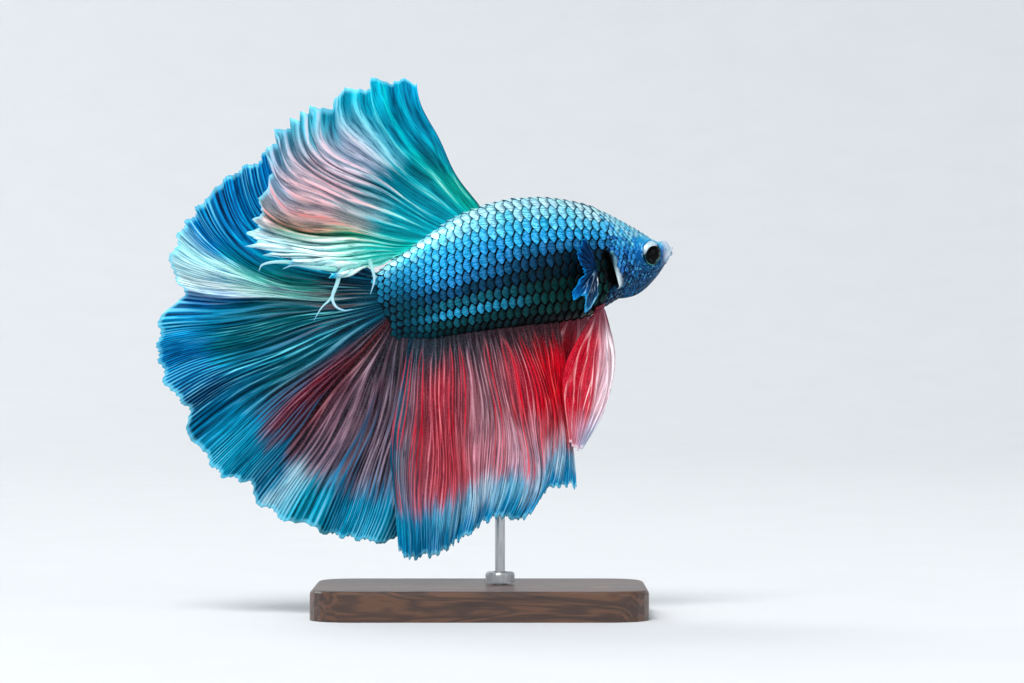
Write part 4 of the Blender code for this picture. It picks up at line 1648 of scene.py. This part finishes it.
ANAL_FINISH = FinFinish(
    "betta_anal",
    (
        (0.0, 0.0, (
            (0.0, "#4a2026"), (0.3, "#46282e"), (0.6, "#3a2e36"), (0.8, "#30343e"), (0.95, "#2c3844"),
            (1.0, "#123c50"),
        )),
        (0.08, 0.26, (
            (0.0, "#cc1c28"), (0.2, "#cc202c"), (0.34, "#b83442"), (0.45, "#a0545e"), (0.58, "#9a6e78"),
            (0.68, "#a4505c"), (0.8, "#bc404c"), (0.9, "#a44c58"), (0.96, "#7a5a66"), (0.99, "#2c6a80"),
            (1.0, "#0f5a78"),
        )),
        (0.42, 0.6, (
            (0.0, "#cc4450"), (0.2, "#cc4450"), (0.3, "#d48894"), (0.4, "#dcb0be"), (0.5, "#d8a4b2"),
            (0.64, "#d48490"), (0.78, "#d05460"), (0.88, "#bc5c68"), (0.96, "#747c8c"), (1.0, "#0f6a8c"),
        )),
        (0.58, 0.74, (
            (0.0, "#d09098"), (0.12, "#d8b4c0"), (0.25, "#dcc4d4"), (0.38, "#dcc0d0"), (0.5, "#d4a4b4"),
            (0.64, "#d07c8a"), (0.78, "#d05864"), (0.88, "#b86c7a"), (0.96, "#5a84a0"), (1.0, "#0f7090"),
        )),
        (0.7, 0.84, (
            (0.0, "#bce4f4"), (0.06, "#48b4da"), (0.15, "#b4dcee"), (0.25, "#5cb8dc"), (0.35, "#bce0f0"),
            (0.45, "#68c0de"), (0.55, "#c4e2ee"), (0.66, "#8cc8e0"), (0.78, "#4ab0d4"), (0.9, "#1f98c4"),
            (1.0, "#1b8fb0"),
        )),
        (0.86, 0.97, (
            (0.0, "#1ca4d6"), (0.2, "#0f9cd2"), (0.4, "#1ca4d6"), (0.6, "#1098cc"), (1.0, "#0f8cbc"),
        )),
    ),
    (
        (0.0, "#f4786e"), (0.2, "#f49a98"), (0.34, "#ecbcc4"), (0.5, "#e4ccd8"), (0.65, "#e4c0cc"),
        (0.8, "#e8a4a8"), (0.93, "#ccb8cc"), (1.0, "#4fa8c0"),
    ),
    second_rays=(
        (0.0, "#7c1c24"), (0.2, "#bc2430"), (0.6, "#d42c38"), (0.76, "#d06470"), (0.84, "#3cb0da"),
        (1.0, "#0f8cbc"),
    ),
    saturation=1.06,
    ray_share=0.65,
    streaks=90.0,
    threads=150.0,
    valley_shade=0.75,
    dark=((0.0, "#7c2028"), (0.3, "#7c3038"), (0.9, "#743c48"), (1.0, "#26485a")),
)

PELVIC_FINISH = FinFinish(
    "betta_pelvic",
    (
        (0.0, 0.0, ((0.0, "#9a6470"), (0.5, "#8a3f4a"), (1.0, "#7a2a34"))),
        (0.1, 0.28, (
            (0.0, "#fcecf0"), (0.26, "#f4ccd6"), (0.44, "#d44c5a"), (0.7, "#bc2834"), (1.0, "#c4303c"),
        )),
        (0.7, 0.92, ((0.0, "#d4e6f8"), (0.3, "#c4c4e0"), (0.7, "#cc7c8c"), (1.0, "#c43c48"))),
    ),
    ((0.0, "#fdf0f4"), (0.5, "#fadadc"), (1.0, "#f4c0c4")),
    ray_share=0.95,
    streaks=24.0,
    threads=60.0,
    saturation=1.05,
    spread=0.12,
    dark=((0.0, "#8a4a54"),),
    margin="#f6e6ee",
)

PECTORAL_FINISH = FinFinish(
    "betta_pectoral",
    (
        (0.0, 0.0, ((0.0, "#022a5c"), (1.0, "#021e40"))),
        (0.4, 0.8, (
            (0.0, "#033668"), (0.5, "#032c54"), (0.66, "#0a56a0"), (0.82, "#0a3c68"), (1.0, "#0c3858"),
        )),
        (0.8, 1.0, (
            (0.0, "#07458c"), (0.5, "#1464ac"), (0.7, "#2484d0"), (0.84, "#5ca4d0"), (1.0, "#a4d4ec"),
        )),
    ),
    ((0.0, "#07427e"), (0.5, "#1464ac"), (0.66, "#4ca4e8"), (0.84, "#d4ecf8"), (1.0, "#f0f8fc")),
    ray_share=0.8,
    streaks=30.0,
    threads=60.0,
    margin="#3c94d4",
    spread=0.15,
)


def tail_tips() -> tuple[tuple[float, float, float], ...]:
    """Works out the tail fan's rim: a swelling arc with three deep notches."""
    centre_x, centre_z = -14.2, 46.1
    first_angle, fan, radius = 126.5, 147.5, 30.0
    notches = ((0.335, 2.4, 0.03), (0.54, 1.8, 0.03), (0.715, 1.8, 0.02))
    u = np.linspace(0.0, 1.0, 61)
    angle = np.radians(first_angle + fan * u)
    reach = radius + 3.4 * ease(u / 0.25) + 2.2 * past(u, 0.3, 0.2)
    for at, depth, half in notches:
        reach = reach - depth * bell(u, at, half)
    return tuple(zip(u, centre_x + reach * np.cos(angle), centre_z + reach * np.sin(angle)))


def fins() -> list[Fin]:
    """The seven fins, from the back round to the flanks."""
    dorsal = MidlineFin(
        "dorsal_web",
        ("dorsal_fin",),
        DORSAL_FINISH,
        (
            (0.0, -10.0, 80.6), (0.1, -14.3, 80.8), (0.2, -18.3, 79.9), (0.32, -23.3, 77.5),
            (0.45, -27.4, 75.0), (0.55, -31.2, 72.2), (0.65, -32.4, 66.0), (0.75, -33.6, 60.4),
            (0.84, -35.2, 55.2), (0.92, -30.0, 52.9), (1.0, -22.0, 50.0),
        ),
        rays=14,
        spacing=((-0.3, -0.2), (0.0, 0.0), (0.3, 0.2), (0.6, 0.52), (0.8, 0.74), (1.0, 1.08), (1.2, 1.5)),
        notch_at=((0.0, 0.8), (0.4, 1.1), (0.76, 1.0), (0.86, 1.7), (0.96, 1.5), (1.0, 0.6)),
        bow=((0.0, 1.0), (0.3, 1.5), (0.6, 1.4), (0.8, 0.6), (1.0, 0.2)),
        sweep=((0.0, 0.3), (0.15, 1.0), (0.35, 2.6), (0.55, 2.6), (0.7, 1.6), (0.8, 0.4), (1.0, 0.0)),
        folds=4.5,
        fold_depth=((0.0, 0.9), (0.55, 1.1), (0.7, 0.5), (0.8, 0.2), (1.0, 0.0)),
        notch=2.3,
        spike=0.8,
        pleat=0.34,
        forks=((0.3, 0.7),),
        creases=(Crease(0.785, 0.03, 0.9, 0.3), Crease(0.88, 0.02, 0.6, 0.4), Crease(0.3, 0.05, 0.5, 0.3)),
        span=(0.625, 0.945),
    )
    tail = TailFin(
        "tail_web",
        ("caudal_fin",),
        TAIL_FINISH,
        tail_tips(),
        rays=23,
        bow=(
            (0.0, 2.4), (0.1, 4.4), (0.2, 3.6), (0.3, 1.2), (0.4, 0.2), (0.6, -0.5), (0.8, 0.4),
            (0.92, 1.2), (1.0, 2.6),
        ),
        sweep=((0.0, 0.6), (0.15, 1.4), (0.3, 0.2), (0.5, -0.4), (1.0, 0.3)),
        folds=7.0,
        fold_depth=((0.0, 1.3), (0.5, 1.6), (1.0, 1.3)),
        notch=1.2,
        spike=0.7,
        crumple=0.5,
        forks=((0.12, 0.4), (0.38, 0.66), (0.62, 0.86)),
        creases=(Crease(0.34, 0.03, 1.1, 0.3), Crease(0.54, 0.02, 0.8, 0.5), Crease(0.715, 0.02, 0.8, 0.4)),
        columns=760,
        lines=62,
        sunk=1.0,
    )
    anal = MidlineFin(
        "anal_web",
        ("anal_fin",),
        ANAL_FINISH,
        (
            (0.0, 14.6, 18.2), (0.08, 12.5, 18.6), (0.18, 9.8, 17.7), (0.28, 7.8, 15.0), (0.36, 5.9, 13.3),
            (0.44, 3.6, 14.2), (0.54, 0.3, 12.9), (0.66, -2.7, 10.8), (0.78, -6.0, 8.8), (0.9, -9.3, 8.0),
            (1.0, -12.0, 8.8),
        ),
        rays=22,
        bow=((0.0, 0.1), (0.12, 1.2), (0.27, 2.4), (0.5, 1.8), (0.8, 0.3), (1.0, -1.6)),
        sweep=((0.0, 0.0), (0.2, 0.8), (0.35, 1.2), (0.6, 0.4), (1.0, 0.0)),
        folds=6.0,
        fold_depth=((0.0, 0.4), (0.3, 0.5), (0.6, 0.9), (1.0, 0.9)),
        notch=1.3,
        spike=0.7,
        pleat=0.2,
        rib_width=0.24,
        forks=((0.02, 0.14), (0.32, 0.56), (0.66, 0.88)),
        creases=(Crease(0.3, 0.03, 0.8, 0.4), Crease(0.47, 0.025, 0.7, 0.5), Crease(0.88, 0.03, 0.6, 0.2)),
        columns=640,
        lines=68,
        span=(0.425, 0.985),
        degrees=-90.0,
        lean_base=-0.35,
        lean_turn=-1.2,
        lean_from=0.6,
        lean_until=1.0,
        lean_soft=4.0,
        lean_slope=-0.02,
    )
    made: list[Fin] = [dorsal, tail, anal]
    for side in Side:
        near = side is Side.RIGHT
        swing = 0.0 if near else -2.2
        made.append(
            PelvicFin(
                f"pelvic_web_{side.word}",
                (f"pelvic_fin_{side.word}",),
                PELVIC_FINISH,
                ((0.0, 15.5 + swing, 24.7), (0.5, 14.5 + swing, 24.4), (1.0, 13.3 + swing, 25.6)),
                rays=3,
                rib_width=0.17,
                bow=((0.0, 3.1), (0.5, 0.4), (1.0, -2.6 if near else -5.6)),
                span=(0.275, 0.31) if near else (0.288, 0.385),
                degrees=-90.0 + 24.0 * side.value,
                notch=0.6,
                pleat=0.12,
                waver=0.2,
                columns=96,
                lines=110,
                side=side,
            )
        )
        made.append(
            PectoralFin(
                f"pectoral_web_{side.word}",
                (f"pectoral_fin_{side.word}",),
                PECTORAL_FINISH,
                (),
                rays=11,
                notch=0.5,
                ray_notch=0.1,
                pleat=0.14,
                columns=264,
                lines=36,
                side=side,
            )
        )
    return made


@dataclass(frozen=True)
class StrandFinish:
    """The pale horn of a free ray."""

    name: str
    run: Stops = ((0.0, "#6fccb8"), (0.3, "#a4dcd8"), (0.7, "#b4dcea"), (1.0, "#4f9cc8"))
    grain: str = "#5fb6cc"

    def make(self) -> bpy.types.Material:
        """Builds the material."""
        n = Nodes(f"betta_{self.name}")
        grain = n.noise(n.place(), 1500.0, 3.0)
        colour = n.mix(grain * 0.4, n.ramp(n.attribute("along"), self.run), self.grain)
        rough = 0.35 + grain * 0.2
        return n.finish({"Base Color": colour, "Roughness": rough, "Normal": n.bump(grain, 0.05, 0.5)})


@dataclass
class Strand:
    """A free ray of the back fin, curling clear of its web and tapering to a point."""

    name: str
    line: tuple[tuple[float, float, float], ...]
    width: float
    squash: float = 0.6
    spokes: int = 20
    rings: int = 90

    def path(self, along: Array) -> Array:
        """Points of the centre line at shares of its length."""
        places = np.linspace(0.0, 1.0, len(self.line))
        rows = [read_stations(tuple(zip(places, row)), along) for row in np.array(self.line).T]
        return np.stack(rows, axis=-1)

    def build(self) -> None:
        """Builds the strand and dresses it."""
        bm = bmesh.new()
        bmesh.ops.create_uvsphere(bm, u_segments=self.spokes, v_segments=self.rings, radius=1.0)
        mesh = to_mesh(bm, self.name)
        ball = read_points(mesh)
        along = np.arccos(np.clip(ball[:, 2], -1, 1)) / np.pi
        ahead = unit(self.path(np.minimum(along + 0.01, 1.0)) - self.path(np.maximum(along - 0.01, 0.0)))
        across = unit(np.cross(ahead, [0.0, 1.0, 0.0]))
        deep = np.cross(across, ahead)
        around = np.arctan2(ball[:, 1], ball[:, 0])
        size = self.width * (1.0 - 0.88 * along) * np.minimum(1.0, np.sin(np.pi * along) * 9.0)
        points = self.path(along) + across * column(size * np.cos(around))
        points = points + deep * column(self.squash * size * np.sin(around))
        write_points(mesh, points)
        write_numbers(mesh, along=along)
        vertex = corners(mesh)
        turn = np.mod(around / math.tau, 1.0)[vertex].reshape(-1)
        write_map(mesh, BAKE_MAP, np.stack([0.01 + 0.98 * along[vertex], 0.01 + 0.98 * turn], axis=1))
        face_outward(mesh)
        add_piece(self.name, mesh, StrandFinish(self.name).make())


def strands() -> list[Strand]:
    """The free rays behind the lower end of the back fin."""
    return [
        Strand(
            "curl_long",
            (
                (-17.4, -7.0, 52.4), (-19.4, -7.2, 52.2), (-20.6, -7.3, 51.2), (-21.1, -7.4, 49.6),
                (-21.8, -7.5, 47.6), (-21.3, -7.6, 46.2), (-20.0, -7.6, 45.6), (-18.7, -7.5, 45.8),
            ),
            0.5,
        ),
        Strand("curl_branch", (
            (-21.3, -7.4, 48.9), (-22.1, -7.5, 47.3), (-23.4, -7.7, 46.0), (-24.6, -7.8, 44.0),
        ), 0.26),
        Strand("curl_hook", (
            (-16.4, -6.9, 53.3), (-16.0, -7.0, 52.0), (-15.6, -7.1, 50.2), (-16.2, -7.3, 47.9),
        ), 0.4),
        Strand("curl_tip", (
            (-26.0, -7.9, 52.6), (-29.6, -8.1, 52.8), (-32.0, -8.3, 52.4), (-32.7, -8.4, 51.3),
        ), 0.36),
        Strand("curl_low", (
            (-21.0, -7.6, 51.6), (-24.4, -7.9, 52.0), (-27.4, -8.1, 52.3), (-29.2, -8.2, 51.7),
        ), 0.36),
    ]


@dataclass(frozen=True)
class WoodFinish:
    """Dark oiled walnut, for the stand's foot."""

    def make(self) -> bpy.types.Material:
        """Builds the material."""
        n = Nodes("stand_walnut")
        place = n.place()
        long = n.stretch(place, (1.0, 9.0, 9.0))
        bend = n.noise(long, 24.0, 3.0, 1.2)
        lines = (bend * 46.0).sine() * 0.5 + 0.5
        pores = n.noise(n.stretch(place, (1.0, 26.0, 26.0)), 130.0, 3.0)
        colour = n.mix(lines, "#3a2216", "#5c3a25")
        colour = n.mix(pores.step(0.5, 0.7) * 0.6, colour, "#1f120b")
        return n.finish(
            {
                "Base Color": colour,
                "Roughness": 0.38 + pores * 0.2,
                "Normal": n.bump(pores * 0.7 + lines * 0.3, 0.12, 0.5),
                "Coat Weight": 0.3,
                "Coat Roughness": 0.2,
            }
        )


@dataclass(frozen=True)
class SteelFinish:
    """Brushed steel, for the rod and its collar."""

    def make(self) -> bpy.types.Material:
        """Builds the material."""
        n = Nodes("stand_steel")
        brushed = n.noise(n.stretch(n.place(), (6.0, 6.0, 1.0)), 500.0, 3.0)
        colour = n.mix(brushed, "#9b9da0", "#c9cbcd")
        return n.finish(
            {
                "Base Color": colour,
                "Roughness": 0.24 + brushed * 0.2,
                "Metallic": 1.0,
                "Normal": n.bump(brushed, 0.02, 0.5),
            }
        )


@dataclass
class Stand:
    """The foot, rod and collar, which keep their solids and get their finishes."""

    wooden: tuple[str, ...] = ("stand_base",)
    steel: tuple[str, ...] = ("stand_rod", "stand_collar")

    def build(self) -> None:
        """Dresses the solids."""
        for names, material in ((self.wooden, WoodFinish().make()), (self.steel, SteelFinish().make())):
            for name in names:
                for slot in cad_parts[name].material_slots:
                    slot.material = material
                LOG.info("%s: %s", name, material.name)


@dataclass
class Studio:
    """Camera, soft light and a pale floor that curves up all round."""

    distance: float = 600.0
    aim: tuple[float, float] = (4.8, 41.0)
    view_width: float = 153.6
    sensor: float = 36.0
    floor_radius: float = 800.0
    curve: float = 1300.0
    steps: int = 18
    spokes: int = 96
    air: str = "#eef1f4"
    air_strength: float = 0.46

    def camera(self) -> None:
        """Sets the camera level with the fish, looking straight at its right side."""
        data = bpy.data.cameras.new("camera")
        data.sensor_width = self.sensor
        data.lens = self.sensor * self.distance / self.view_width
        data.clip_start, data.clip_end = 0.01, 20.0
        camera = bpy.data.objects.new("camera", data)
        camera.location = Vector((self.aim[0], -self.distance, self.aim[1])) * MM
        camera.rotation_euler = (math.pi / 2, 0.0, 0.0)
        bpy.context.scene.collection.objects.link(camera)
        bpy.context.scene.camera = camera

    def floor(self) -> None:
        """Builds the pale floor as one bowl with no corner."""
        bm = bmesh.new()
        first = bm.verts.new((0.0, 0.0, 0.0))
        line = [first, bm.verts.new((self.floor_radius * MM, 0.0, 0.0))]
        for step in range(1, self.steps + 1):
            turn = step / self.steps * math.pi / 2
            reach = self.floor_radius + self.curve * math.sin(turn)
            line.append(bm.verts.new((reach * MM, 0.0, self.curve * (1 - math.cos(turn)) * MM)))
        edges = [bm.edges.new(pair) for pair in zip(line, line[1:])]
        bmesh.ops.spin(
            bm,
            geom=line + edges,
            cent=(0, 0, 0),
            axis=(0, 0, 1),
            angle=math.tau,
            steps=self.spokes,
            use_merge=True,
        )
        bmesh.ops.remove_doubles(bm, verts=bm.verts[:], dist=1e-5)
        bmesh.ops.recalc_face_normals(bm, faces=bm.faces[:])
        mesh = to_mesh(bm, "floor")
        mesh.polygons.foreach_set("use_smooth", np.ones(len(mesh.polygons), bool))
        n = Nodes("studio_floor")
        grain = n.noise(n.place(), 40.0, 3.0)
        colour = n.mix(grain, "#dfe2e5", "#e4e7ea")
        mesh.materials.append(n.finish({"Base Color": colour, "Roughness": 0.8 + grain * 0.1}))
        floor = bpy.data.objects.new("floor", mesh)
        bpy.context.scene.collection.objects.link(floor)

    def light(self, name: str, place: Sequence[float], size: float, power: float, tint: str) -> None:
        """Hangs a soft lamp that faces the fish.

        Args:
            name: The lamp's name.
            place: Where it hangs.
            size: Its side.
            power: Its power in watts.
            tint: Its colour.
        """
        data = bpy.data.lights.new(name, "AREA")
        data.size, data.energy, data.color = size * MM, power, linear(tint)[:3]
        lamp = bpy.data.objects.new(name, data)
        lamp.location = Vector(place) * MM
        aim = Vector((0.0, 0.0, self.aim[1])) * MM
        lamp.rotation_euler = (aim - lamp.location).to_track_quat("-Z", "Y").to_euler()
        bpy.context.scene.collection.objects.link(lamp)

    def build(self) -> None:
        """Sets up the whole studio."""
        self.camera()
        self.floor()
        self.light("key", (-350.0, -1050.0, 1650.0), 800.0, 29.0, "#ffffff")
        self.light("fill", (1250.0, -1000.0, 500.0), 700.0, 3.0, "#eef4ff")
        self.light("rim", (-900.0, 1150.0, 1300.0), 800.0, 9.0, "#ffffff")
        world = bpy.data.worlds.new("studio_air")
        world.use_nodes = True
        background = world.node_tree.nodes["Background"]
        background.inputs["Color"].default_value = linear(self.air)
        background.inputs["Strength"].default_value = self.air_strength
        bpy.context.scene.world = world
        bpy.context.scene.view_settings.view_transform = "Standard"


def main() -> None:
    """Builds the fish, its stand and the studio in order."""
    logging.basicConfig(level=logging.INFO, format="%(name)s %(message)s")
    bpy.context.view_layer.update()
    Skin().build()
    trunk_pitch = ((0.1, 0.022), (0.25, 0.0262), (0.4, 0.028), (0.7, 0.027), (1.0, 0.0235))
    ScaleField("scale", 24, trunk_pitch, trunk_start, to_the_tail, everywhere).build()
    head_pitch = ((0.05, 0.0115), (0.15, 0.0155), (0.3, 0.0205))
    ScaleField(
        "head_scale",
        40,
        head_pitch,
        face_start,
        face_end,
        on_the_face,
        lift=-0.17,
        tilt=0.18,
        deep=False,
        thickness=0.02,
        dome=0.035,
        face_breadth=0.9,
        seed=9,
        seam=SeamFinish("betta_head_seam", "#022440", "#4c9cc0"),
        finish=HEAD_SCALES,
    ).build()
    for side in Side:
        Eyeball(side).build()
    for fin in fins():
        fin.build()
    for strand in strands():
        strand.build()
    Stand().build()
    Studio().build()


if __name__ == "__main__":
    main()
